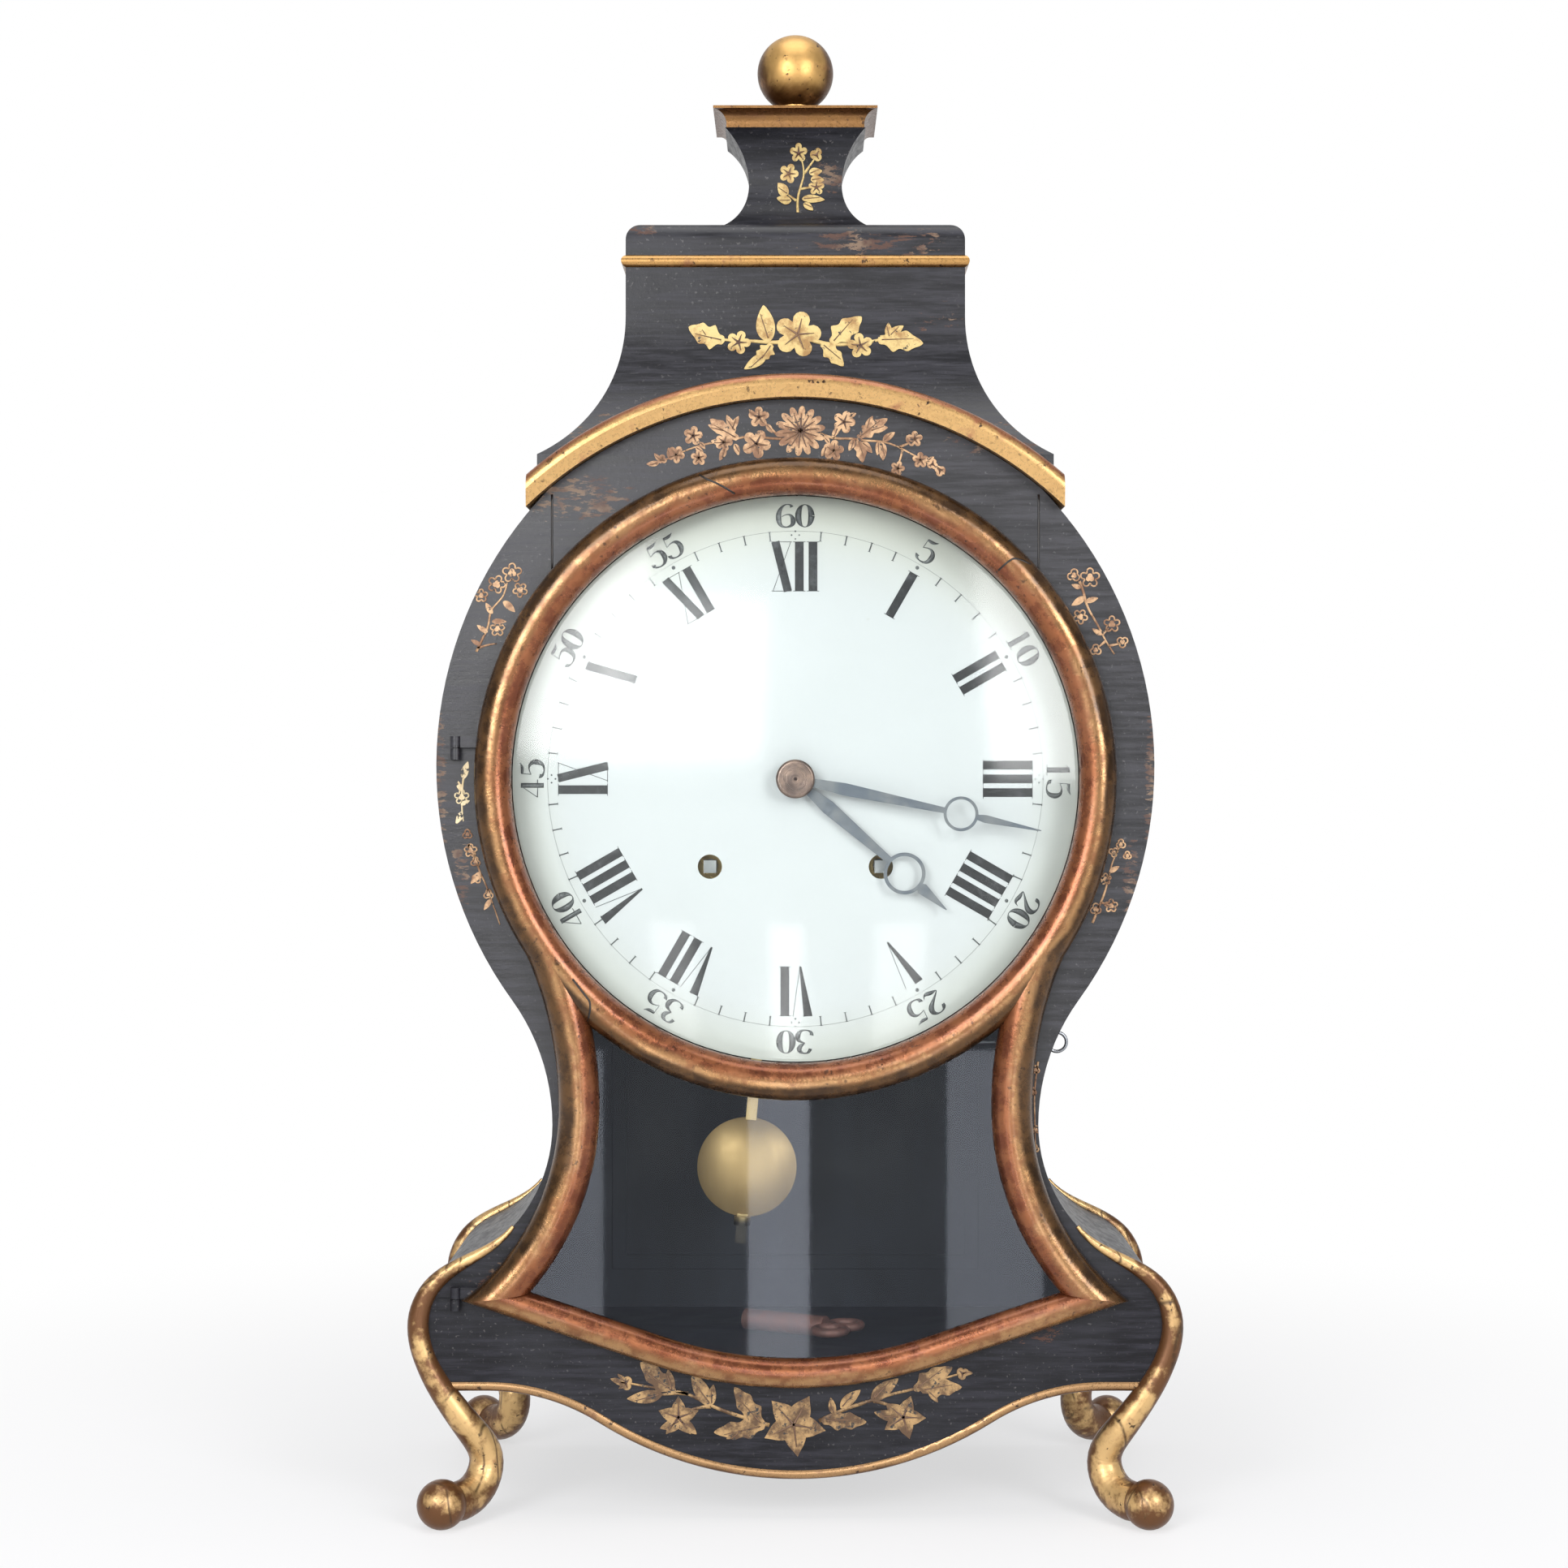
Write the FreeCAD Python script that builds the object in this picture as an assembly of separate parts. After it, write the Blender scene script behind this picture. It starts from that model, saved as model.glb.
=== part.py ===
import FreeCAD, Part
import math
import os

V = FreeCAD.Vector

# A waisted bracket clock in black lacquered wood with gilt mouldings.
# Millimetres. X is to the right seen from the front, the front looks along -Y, Z is up.
# The origin lies on the resting plane, midway between the four feet.

# Clearances
GAP = 0.3            # between pieces of different bodies
RUN = 0.05           # radial play of a shaft or a pin in its hole

# Case outline, seen from the front
DIAL_HEIGHT = 327.5  # height of the dial centre
ARCH_RISE = 167.5    # top of the case arch above the dial centre
ARCH_SAG = 39.811    # corners of the arch below its top
LOBE_HALF = 158.4    # half width of the upper lobe
LOBE_RISE = 5.5      # its widest point above the dial centre
LOBE_RADIUS = 175.7
WAIST_HALF = 107.2
WAIST_HEIGHT = 175.0
KNEE_HALF = 166.6
KNEE_HEIGHT = 84.922
KNEE_RADIUS = 31.0
KNEE_TUCK = 30.0     # degrees that the outline turns under the knee
APRON_LOW = 22.5     # lowest point of the apron
APRON_RADIUS = 160.0
HUMP_RADIUS = 96.6
APRON_SWEEP = 32.0   # degrees

# Case boards
CASE_DEPTH = 150.0
FRONT_BOARD = 14.0
SIDE_WALL = 8.0
BACK_BOARD = 8.0
FLOOR_BOARD = 7.5
SEAT_BOARD = 8.0
ARCH_SEAM_IN = 0.955  # seam of the arch board inside the corner of the arch
APRON_SEAM = 141.0   # half width of the apron
BEAD_RADIUS = 2.4    # gilt bead under the apron and the sides

# Feet
TOE_RADIUS = 10.9
TOE_X = 154.6
TOE_OUT = 12.0       # toe centre ahead of the case face
TOE_FLAT = 0.5       # depth of the flat that the toe stands on
HEEL_RADIUS = 8.7
HEEL_TURN = 0.62     # share of the way from ankle to toe that the heel takes
HEEL_FALL = 1.03     # lowest point of the heel, in falls from ankle to toe
ANKLE_X = 137.2
ANKLE_HEIGHT = 25.0
ANKLE_IN = 9.0       # ankle behind the case face
ANKLE_RADIUS = 7.6
KNEE_BEAD = 4.9      # radius of the gilt corner at the knee
BEAD_START = 42.0    # degrees down the flare where the gilt corner begins
BEAD_TIP = 0.9       # radius of the gilt corner where it begins
LEG_RINGS = 64       # sections through one leg

# Front door
DOOR_STEP = 12.0     # height of the mouldings
RING_INNER = 125.0
RING_OUTER = 141.4
DOOR_WAIST = 95.2    # centre line of the side moulding at its narrowest
DOOR_WAIST_HEIGHT = 183.0
STILE_MEET = 1.788   # centre line of the side moulding inside that of the ring
DOOR_LOWER_RADIUS = 115.0
STILE_HALF = 9.0     # half width of a side moulding
RAIL_HALF = 6.5      # half width of the bottom rail
RAIL_HEIGHT = 66.0   # centre line of the rail at the middle
RAIL_RADIUS = 188.5
RAIL_SLOPE = 18.5    # degrees
DOOR_LAP = 2.0       # case opening inside the centre lines of the mouldings
GLASS = 1.6
GLASS_RISE = 15.0
GLASS_LAP = 3.5      # how far the ring covers the dial glass
REBATE = 2.6         # depth of the glass rebate
HINGE_X = 149.6      # door hinge line
KNUCKLE = 2.2
HINGE_PIN = 1.2
KNUCKLE_LENGTH = 5.0
HINGE_LEAF = 0.9

# Crown
CROWN_OVER = 5.045   # crown wider than the arch, each side
CROWN_EDGE_DROP = 24.2  # top of the short upright edge below the arch top
COVE_STEP = 37.0     # how far the cove draws in
COVE_TURN = 58.2     # degrees
COVE_RISE = 64.5     # top of the cove above the arch top
CROWN_WALL = 10.0
ARCH_WIDTH = 10.7    # gilt arch moulding
ARCH_NOSE = 8.0
ARCH_FLAT = 5.6      # width of its flat face, below the rounded top edge
ARCH_LEAN = 0.8      # the flat face leans back by this much at its foot
ARCH_OUT = 4.3       # it turns at the corners and runs back along the sides, this thick
ARCH_OVER = 2.36     # degrees that its ends run past the corners of the arch
CROWN_BEAD = 5.6
CROWN_BEAD_OUT = 2.0
TIER_HEIGHT = 15.0
TIER_EDGE = 8.0      # rounding of the tier's top edge
NECK_HALF = 21.7
NECK_LOWER_RADIUS = 25.0
NECK_UPPER_RADIUS = 33.0
NECK_UPPER_RISE = 24.5
NECK_NARROWER = 6.0  # the neck is this much less deep than wide, each side
CAP_LOW_HALF = 32.0
CAP_HALF = 38.0
CAP_HEIGHT = 9.0
BALL_RADIUS = 17.9
BALL_STEM = 4.0
STEM_RADIUS = 8.0

# Dial and hands
DIAL_RADIUS = 126.0
DIAL_SHEET = 2.0
DIAL_RISE = 4.0
DIAL_SETBACK = 13.0  # dial edge behind the case face
WIND_X = 38.0
WIND_DROP = 39.0
WIND_HOLE = 5.4
HOUR_LENGTH = 88.6
HOUR_RING_AT = 64.0
HOUR_RING = 9.3
HOUR_TURN = 130.9    # degrees clockwise from twelve
MINUTE_LENGTH = 111.0
MINUTE_RING_AT = 74.8
MINUTE_RING = 7.7
MINUTE_TURN = 101.9
HAND_SHEET = 0.9
HOUR_WIDE = 3.2      # half widths of the hour hand: swell, neck and leaf
HOUR_NECK = 2.0
HOUR_LEAF = 2.6
MINUTE_WIDE = 2.8
MINUTE_NECK = 1.7
MINUTE_LEAF = 1.8
POINT = 0.25         # half width of a hand at its tip
COLLET_RADIUS = 8.6

# Movement
PLATE = 3.0
PLATE_SPACE = 46.0
PLATE_HALF = 78.0
PLATE_BELOW = 80.0
PLATE_ABOVE = 86.0
PLATE_SETBACK = 26.0  # front face of the front plate behind the case face
PIVOT = 1.0
ARBOR = 1.3
PILLAR = 4.0
BARREL_RADIUS = 33.0
BARREL_WALL = 2.0
BARREL_ARBOR = 4.0
WIND_SQUARE = 5.6
WHEEL = 2.0           # thickness of a train wheel
BELL_RADIUS = 36.0
BELL_WALL = 2.5
BELL_LIFT = 5.0       # bell rim above the plates

# Pendulum
PENDULUM_Y = 14.0
PALLET_LIFT = 73.0    # pendulum axis above the dial centre
PENDULUM_LENGTH = 257.0
BOB_RADIUS = 24.0
BOB_HALF = 6.0
BOB_RIM = 0.6        # turned off the sharp edge of the bob
ROD_HALF = 2.5
ROD_SHEET = 1.6
SWING_REST = 5.1      # degrees to the left in the stored pose
SUSPENSION_PIN = 1.5

# Back
REAR_DOOR_HALF = 86.0
REAR_DOOR_LOW = 91.0
REAR_DOOR_DROP = 70.0  # top of the opening below the arch top

# Strike pull on the right side
PULL_DROP = 121.5    # below the dial centre
PULL_Y = -15.0
PULL_RING = 4.4
PULL_WIRE = 0.8
PULL_STROKE = 20.0

# Winding key lying on the floor
KEY_SHAFT = 4.8
KEY_LENGTH = 42.0
KEY_BOW = 9.0
KEY_WIRE = 2.0
KEY_X = 14.0
KEY_Y = -12.0
KEY_TURN = 28.0      # degrees from the case front

FRONT = -CASE_DEPTH / 2
BACK = CASE_DEPTH / 2
SWEEP = math.radians(APRON_SWEEP)
BASE = APRON_LOW + (APRON_RADIUS + HUMP_RADIUS) * (1 - math.cos(SWEEP))
HUMP_X = (APRON_RADIUS + HUMP_RADIUS) * math.sin(SWEEP)
LOBE_HEIGHT = DIAL_HEIGHT + LOBE_RISE
LOBE_CENTRE = (LOBE_HALF - LOBE_RADIUS, LOBE_HEIGHT)
ARCH_TOP = DIAL_HEIGHT + ARCH_RISE
CORNER_RISE = ARCH_RISE - ARCH_SAG - LOBE_RISE
CORNER_X = LOBE_CENTRE[0] + math.sqrt(LOBE_RADIUS ** 2 - CORNER_RISE ** 2)
ARCH_RADIUS = (CORNER_X ** 2 + ARCH_SAG ** 2) / (2 * ARCH_SAG)
ARCH_CENTRE = ARCH_TOP - ARCH_RADIUS
ARCH_SEAM = CORNER_X - ARCH_SEAM_IN
ARCH_END = math.degrees(math.asin(CORNER_X / ARCH_RADIUS)) + ARCH_OVER
CROWN_HALF = CORNER_X + CROWN_OVER
CROWN_EDGE = ARCH_TOP - CROWN_EDGE_DROP
COVE_END = ARCH_TOP + COVE_RISE
REAR_DOOR_TOP = ARCH_TOP - REAR_DOOR_DROP
PULL_HEIGHT = DIAL_HEIGHT - PULL_DROP
RING_MIDDLE = (RING_INNER + RING_OUTER) / 2
RING_HALF = (RING_OUTER - RING_INNER) / 2
DOOR_BACK = FRONT - GAP

parts = {}


def polar(cx, cz, r, a):
    t = math.radians(a)
    return (cx + r * math.cos(t), cz + r * math.sin(t))


def meet(c0, r0, c1, r1, side):
    """Crossing point of two circles, on the left (1) or right (-1) of the line c0 to c1."""
    dx = c1[0] - c0[0]
    dz = c1[1] - c0[1]
    d = math.hypot(dx, dz)
    a = (r0 * r0 - r1 * r1 + d * d) / (2 * d)
    h = side * math.sqrt(r0 * r0 - a * a)
    return (c0[0] + (a * dx - h * dz) / d, c0[1] + (a * dz + h * dx) / d)


def bearing(c, p):
    return math.degrees(math.atan2(p[1] - c[1], p[0] - c[0]))


def arc(c, r, a0, a1):
    return ("arc", c, r, a0, a1)


def line(p, q):
    return ("line", p, q)


def first(piece):
    if piece[0] == "line":
        return piece[1]
    return polar(piece[1][0], piece[1][1], piece[2], piece[3])


def last(piece):
    if piece[0] == "line":
        return piece[2]
    return polar(piece[1][0], piece[1][1], piece[2], piece[4])


def mirror(pieces):
    out = []
    for p in reversed(pieces):
        if p[0] == "line":
            out.append(line((-p[2][0], p[2][1]), (-p[1][0], p[1][1])))
        else:
            out.append(arc((-p[1][0], p[1][1]), p[2], 180 - p[4], 180 - p[3]))
    return out


def backwards(pieces):
    out = []
    for p in reversed(pieces):
        if p[0] == "line":
            out.append(line(p[2], p[1]))
        else:
            out.append(arc(p[1], p[2], p[4], p[3]))
    return out


def edge(piece, y):
    p = first(piece)
    q = last(piece)
    if piece[0] == "line":
        return Part.LineSegment(V(p[0], y, p[1]), V(q[0], y, q[1])).toShape()
    m = polar(piece[1][0], piece[1][1], piece[2], (piece[3] + piece[4]) / 2)
    return Part.Arc(V(p[0], y, p[1]), V(m[0], y, m[1]), V(q[0], y, q[1])).toShape()


def prism(pieces, y0, y1):
    """Solid between y0 and y1 over a closed run of pieces in the XZ plane."""
    run = []
    for i, p in enumerate(pieces):
        run.append(p)
        q = pieces[(i + 1) % len(pieces)]
        a = last(p)
        b = first(q)
        if math.hypot(a[0] - b[0], a[1] - b[1]) > 1e-6:
            run.append(line(a, b))
    wire = Part.Wire([edge(p, y0) for p in run])
    return Part.Face(wire).extrude(V(0, y1 - y0, 0))


def polygon(points, y0, y1):
    n = len(points)
    return prism([line(points[i], points[(i + 1) % n]) for i in range(n)], y0, y1)


def box(x0, x1, y0, y1, z0, z1):
    return Part.makeBox(x1 - x0, y1 - y0, z1 - z0, V(x0, y0, z0))


def rod_y(x, z, r, y0, y1):
    return Part.makeCylinder(r, y1 - y0, V(x, y0, z), V(0, 1, 0))


def rod_z(x, y, r, z0, z1):
    return Part.makeCylinder(r, z1 - z0, V(x, y, z0), V(0, 0, 1))


def rod_x(y, z, r, x0, x1):
    return Part.makeCylinder(r, x1 - x0, V(x0, y, z), V(1, 0, 0))


def fuse(solids):
    out = solids[0]
    for s in solids[1:]:
        out = out.fuse(s)
    return out.removeSplitter()


def flip_x(shape):
    return shape.mirror(V(0, 0, 0), V(1, 0, 0))


def flip_y(shape):
    return shape.mirror(V(0, 0, 0), V(0, 1, 0))


def add(name, shape):
    parts[name] = shape


# Case outline

LOBE_TO_WAIST = WAIST_HALF - LOBE_CENTRE[0]
WAIST_FALL = LOBE_HEIGHT - WAIST_HEIGHT
WAIST_RADIUS = LOBE_TO_WAIST ** 2 + WAIST_FALL ** 2 - LOBE_RADIUS ** 2
WAIST_RADIUS = WAIST_RADIUS / (2 * (LOBE_RADIUS - LOBE_TO_WAIST))
WAIST_CENTRE = (WAIST_HALF + WAIST_RADIUS, WAIST_HEIGHT)
KNEE_CENTRE = (KNEE_HALF - KNEE_RADIUS, KNEE_HEIGHT)
WAIST_TO_KNEE = KNEE_CENTRE[0] - WAIST_HALF
KNEE_FALL = WAIST_HEIGHT - KNEE_HEIGHT
FLARE_RADIUS = (WAIST_TO_KNEE ** 2 + KNEE_FALL ** 2 - KNEE_RADIUS ** 2) / (2 * (KNEE_RADIUS + WAIST_TO_KNEE))
FLARE_CENTRE = (WAIST_HALF + FLARE_RADIUS, WAIST_HEIGHT)
FLARE_TURN = bearing(KNEE_CENTRE, FLARE_CENTRE)


def outline(inset):
    """Right half of the case outline from the arch top to the base, moved inwards."""
    arch_c = (0.0, ARCH_CENTRE)
    corner = meet(arch_c, ARCH_RADIUS - inset, LOBE_CENTRE, LOBE_RADIUS - inset, 1)
    if corner[0] < 0:
        corner = meet(arch_c, ARCH_RADIUS - inset, LOBE_CENTRE, LOBE_RADIUS - inset, -1)
    tangent = bearing(LOBE_CENTRE, WAIST_CENTRE)
    tuck = math.radians(KNEE_TUCK)
    under = polar(KNEE_CENTRE[0], KNEE_CENTRE[1], KNEE_RADIUS - inset, -KNEE_TUCK)
    drop = under[1] - BASE
    return [
        arc(arch_c, ARCH_RADIUS - inset, 90, bearing(arch_c, corner)),
        arc(LOBE_CENTRE, LOBE_RADIUS - inset, bearing(LOBE_CENTRE, corner), tangent),
        arc(WAIST_CENTRE, WAIST_RADIUS + inset, 180 + tangent, 180),
        arc(FLARE_CENTRE, FLARE_RADIUS + inset, 180, 180 + FLARE_TURN),
        arc(KNEE_CENTRE, KNEE_RADIUS - inset, FLARE_TURN, -KNEE_TUCK),
        line(under, (under[0] - drop * math.tan(tuck), BASE)),
    ]


def apron_run(drop):
    """Right half of the apron's lower edge from the hump to the middle, moved down."""
    return [
        arc((HUMP_X, BASE - HUMP_RADIUS), HUMP_RADIUS - drop, 90, 90 + APRON_SWEEP),
        arc((0.0, APRON_LOW + APRON_RADIUS), APRON_RADIUS + drop, 270 + APRON_SWEEP, 270),
    ]


def whole(half):
    """Closed symmetric run from a right half that starts and ends on the middle line."""
    return half + mirror(half)


# Front door geometry

STILE_CATCH = RING_MIDDLE - STILE_MEET
DOOR_FALL = DIAL_HEIGHT - DOOR_WAIST_HEIGHT
DOOR_UPPER_RADIUS = DOOR_WAIST ** 2 + DOOR_FALL ** 2 - STILE_CATCH ** 2
DOOR_UPPER_RADIUS = DOOR_UPPER_RADIUS / (2 * (STILE_CATCH - DOOR_WAIST))
UPPER_CENTRE = (DOOR_WAIST + DOOR_UPPER_RADIUS, DOOR_WAIST_HEIGHT)
LOWER_CENTRE = (DOOR_WAIST + DOOR_LOWER_RADIUS, DOOR_WAIST_HEIGHT)
STILE_TOP = bearing(UPPER_CENTRE, (0.0, DIAL_HEIGHT))
RAIL_CENTRE = (0.0, RAIL_HEIGHT + RAIL_RADIUS)
SLOPE = math.radians(RAIL_SLOPE)


def rail_line(rise):
    """Point and direction of the straight end of the bottom rail, moved up by rise."""
    p = polar(RAIL_CENTRE[0], RAIL_CENTRE[1], RAIL_RADIUS - rise, 270 + RAIL_SLOPE)
    return p, (math.cos(SLOPE), math.sin(SLOPE))


def corner_at(inset, rise):
    """Where the side moulding's edge line crosses the rail's edge line."""
    p, d = rail_line(rise)
    r = DOOR_LOWER_RADIUS + inset
    fx = p[0] - LOWER_CENTRE[0]
    fz = p[1] - LOWER_CENTRE[1]
    b = fx * d[0] + fz * d[1]
    c = fx * fx + fz * fz - r * r
    t = -b - math.sqrt(b * b - c)
    return (p[0] + t * d[0], p[1] + t * d[1])


def stile_run(inset, low):
    """Centre line of the right side moulding, moved towards the window."""
    return [
        arc(UPPER_CENTRE, DOOR_UPPER_RADIUS + inset, STILE_TOP, 180),
        arc(LOWER_CENTRE, DOOR_LOWER_RADIUS + inset, 180, low),
    ]


def rail_half(rise, reach):
    p, d = rail_line(rise)
    return [
        arc(RAIL_CENTRE, RAIL_RADIUS - rise, 270, 270 + RAIL_SLOPE),
        line(p, (p[0] + d[0] * reach, p[1] + d[1] * reach)),
    ]


def window(inset, y0, y1):
    """Lower window of the door, bounded by the moulding centre lines moved inwards."""
    c = corner_at(inset, inset)
    right = stile_run(inset, 360 + bearing(LOWER_CENTRE, c))
    p, d = rail_line(inset)
    right = right + [line(c, p), arc(RAIL_CENTRE, RAIL_RADIUS - inset, 270 + RAIL_SLOPE, 270)]
    return prism(whole(right), y0, y1)


def aperture(y0, y1):
    """Opening of the case front behind the door."""
    disc = rod_y(0, DIAL_HEIGHT, RING_MIDDLE - DOOR_LAP, y0, y1)
    return window(DOOR_LAP, y0, y1).fuse(disc).removeSplitter()


def section_face(origin, side, half, flank, y):
    """Half-round section on a flat back, square to a run in the XZ plane."""
    def at(u, h):
        return V(origin[0] + side[0] * u, y - h, origin[1] + side[1] * u)
    nose = Part.Arc(at(half, flank), at(0, flank + half), at(-half, flank)).toShape()
    return Part.Face(Part.Wire([
        Part.LineSegment(at(-half, flank), at(-half, 0)).toShape(),
        Part.LineSegment(at(-half, 0), at(half, 0)).toShape(),
        Part.LineSegment(at(half, 0), at(half, flank)).toShape(),
        nose,
    ]))


def moulding(pieces, half, flank, y):
    """Half-round moulding along a run of tangent pieces in the XZ plane."""
    solids = []
    for p in pieces:
        if p[0] == "line":
            dx = p[2][0] - p[1][0]
            dz = p[2][1] - p[1][1]
            n = math.hypot(dx, dz)
            face = section_face(p[1], (-dz / n, dx / n), half, flank, y)
            solids.append(face.extrude(V(dx, 0, dz)))
        else:
            a0 = min(p[3], p[4])
            a1 = max(p[3], p[4])
            start = polar(p[1][0], p[1][1], p[2], a0)
            t = math.radians(a0)
            face = section_face(start, (math.cos(t), math.sin(t)), half, flank, y)
            solids.append(face.revolve(V(p[1][0], y, p[1][1]), V(0, -1, 0), a1 - a0))
    return fuse(solids)


def round_bead(pieces, r, y):
    """Round bar along a run of pieces in the XZ plane."""
    solids = []
    for p in pieces:
        s = first(p)
        e = last(p)
        if p[0] == "line":
            d = V(e[0] - s[0], 0, e[1] - s[1])
            solids.append(Part.makeCylinder(r, d.Length, V(s[0], y, s[1]), d))
        else:
            a0 = min(p[3], p[4])
            a1 = max(p[3], p[4])
            s = polar(p[1][0], p[1][1], p[2], a0)
            t = math.radians(a0)
            ring = Part.makeCircle(r, V(s[0], y, s[1]), V(-math.sin(t), 0, math.cos(t)))
            face = Part.Face(Part.Wire([ring]))
            solids.append(face.revolve(V(p[1][0], y, p[1][1]), V(0, -1, 0), a1 - a0))
    return fuse(solids)


# Case boards

def case_block(y0, y1):
    right = outline(0)
    base = last(right[-1])
    right = right + [line(base, (HUMP_X, BASE))] + apron_run(0)
    return prism(whole(right), y0, y1)


def shell(inset, low, y0, y1):
    """Inside of the case walls between two heights."""
    right = outline(inset)
    end = last(right[-1])
    right = right + [line(end, (0.0, end[1]))]
    return prism(whole(right), y0, y1).common(box(-400, 400, y0, y1, low[0], low[1]))


front_y = (FRONT, FRONT + FRONT_BOARD)
wall_y = (FRONT + FRONT_BOARD, BACK - BACK_BOARD)
front_all = case_block(*front_y).cut(aperture(*front_y))
tip_in = corner_at(DOOR_LAP, DOOR_LAP)
upper_zone = box(-ARCH_SEAM, ARCH_SEAM, front_y[0], front_y[1], DIAL_HEIGHT, ARCH_TOP + 10)
lower_zone = box(-APRON_SEAM, APRON_SEAM, front_y[0], front_y[1], 0, tip_in[1])
add("front_arch_board", front_all.common(upper_zone))
add("front_apron", front_all.common(lower_zone))
stiles = front_all.cut(upper_zone).cut(lower_zone)
far = LOBE_HALF + KNEE_HALF
right_zone = box(0, far, front_y[0], front_y[1], 0, ARCH_TOP + 10)
add("front_stile_right", stiles.common(right_zone))
add("front_stile_left", flip_x(parts["front_stile_right"]))

outer = outline(0)
inner = outline(SIDE_WALL)
pull_hole = rod_x(PULL_Y, PULL_HEIGHT, PULL_WIRE + RUN, 0, far)
wall = prism(outer[1:] + backwards(inner[1:]), *wall_y)
add("side_wall_left", flip_x(wall))
add("side_wall_right", wall.cut(pull_hole))
roof_run = [
    arc(outer[0][1], outer[0][2], outer[0][4], 180 - outer[0][4]),
    arc(inner[0][1], inner[0][2], 180 - inner[0][4], inner[0][4]),
]
add("roof_board", prism(roof_run, *wall_y))

back_right = outline(0)
back_end = last(back_right[-1])
back_all = prism(whole(back_right + [line(back_end, (0.0, back_end[1]))]), BACK - BACK_BOARD, BACK)
rear_hole = box(-REAR_DOOR_HALF, REAR_DOOR_HALF, BACK - BACK_BOARD, BACK, REAR_DOOR_LOW, REAR_DOOR_TOP)
add("back_board", back_all.cut(rear_hole))

FLOOR_TOP = BASE + FLOOR_BOARD
SEAT_TOP = DIAL_HEIGHT - PLATE_BELOW
PLATE_FRONT = FRONT + PLATE_SETBACK
LEVEL = PLATE_FRONT + PLATE
PLATE_BACK = LEVEL + PLATE_SPACE
DIAL_Y = FRONT + DIAL_SETBACK
seat_y = (DIAL_Y + DIAL_SHEET + 2 * GAP, PLATE_BACK + PLATE)
add("floor_board", shell(SIDE_WALL, (BASE, FLOOR_TOP), *wall_y))
add("seat_board", shell(SIDE_WALL, (SEAT_TOP - SEAT_BOARD, SEAT_TOP), *seat_y))

# Feet: a gilt corner bead that swells into an S-curved leg with a ball toe


def corner_path():
    """Centre points and radii down the front right leg."""
    path = []
    flare = FLARE_TURN - BEAD_START
    for t in (0.0, 0.5, 1.0):
        p = polar(FLARE_CENTRE[0], FLARE_CENTRE[1], FLARE_RADIUS, 180 + BEAD_START + flare * t)
        path.append((p[0], FRONT, p[1], BEAD_TIP + (0.6 * KNEE_BEAD - BEAD_TIP) * t))
    for t, r in ((0.3, 0.8), (0.6, 0.95), (1.0, 1.0)):
        p = polar(KNEE_CENTRE[0], KNEE_CENTRE[1], KNEE_RADIUS, FLARE_TURN - (FLARE_TURN + KNEE_TUCK) * t)
        path.append((p[0], FRONT, p[1], KNEE_BEAD * r))
    knee = path[-1]
    ankle = (ANKLE_X, FRONT + ANKLE_IN, ANKLE_HEIGHT, ANKLE_RADIUS)
    bow = (ANKLE_X - knee[0]) * 0.08
    for t, out in ((0.33, 0.0), (0.68, 1.0), (1.0, 0.0)):
        x = knee[0] + (ankle[0] - knee[0]) * t + bow * out
        y = knee[1] + (ankle[1] - knee[1]) * t * t
        z = knee[2] + (ankle[2] - knee[2]) * t
        path.append((x, y, z, knee[3] + (ankle[3] - knee[3]) * t))
    toe = (TOE_X, FRONT - TOE_OUT, TOE_RADIUS - TOE_FLAT)
    for turn in (30.0, 60.0, 90.0):
        t = HEEL_TURN * (1 - math.cos(math.radians(turn)))
        fall = HEEL_FALL * math.sin(math.radians(turn))
        x = ankle[0] + (toe[0] - ankle[0]) * t
        y = ankle[1] + (toe[1] - ankle[1]) * t
        z = ankle[2] + (toe[2] - ankle[2]) * fall
        path.append((x, y, z, ankle[3] + (HEEL_RADIUS - ankle[3]) * turn / 90.0))
    path.append((toe[0], toe[1], toe[2], ANKLE_RADIUS))
    return path


def ring_wire(c, u, w, r):
    """Circle about c that starts along u and turns towards w."""
    near = Part.Arc(c + u * r, c + w * r, c - u * r).toShape()
    far_half = Part.Arc(c - u * r, c - w * r, c + u * r).toShape()
    return Part.Wire([near, far_half])


def leg():
    """Front right leg: rings along a smooth centre line, and a ball toe with a flat below."""
    path = corner_path()
    spine = Part.BSplineCurve()
    spine.interpolate([V(p[0], p[1], p[2]) for p in path])
    knots = spine.getKnots()
    rings = []
    side = V(0, 1, 0)
    for k in range(LEG_RINGS):
        u = knots[0] + (knots[-1] - knots[0]) * k / (LEG_RINGS - 1)
        i = max(j for j in range(len(path) - 1) if knots[j] <= u)
        t = (u - knots[i]) / (knots[i + 1] - knots[i])
        r = path[i][3] + (path[i + 1][3] - path[i][3]) * t
        d = V(*spine.tangent(u)[0])
        side = (side - d * side.dot(d)).normalize()
        rings.append(ring_wire(spine.value(u), side, d.cross(side), r))
    body = Part.makeLoft(rings, True, True)
    toe = Part.makeSphere(TOE_RADIUS, V(TOE_X, FRONT - TOE_OUT, TOE_RADIUS - TOE_FLAT))
    body = body.fuse(toe)
    body = body.cut(case_block(FRONT, BACK))
    return body.cut(box(0, far, 2 * FRONT, 0, -4 * TOE_RADIUS, 0))


leg_fr = leg()
leg_fl = flip_x(leg_fr)
leg_rr = flip_y(leg_fr)
add("front_legs", Part.makeCompound([leg_fr, leg_fl]))
add("rear_legs", Part.makeCompound([leg_rr, flip_x(leg_rr)]))

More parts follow.
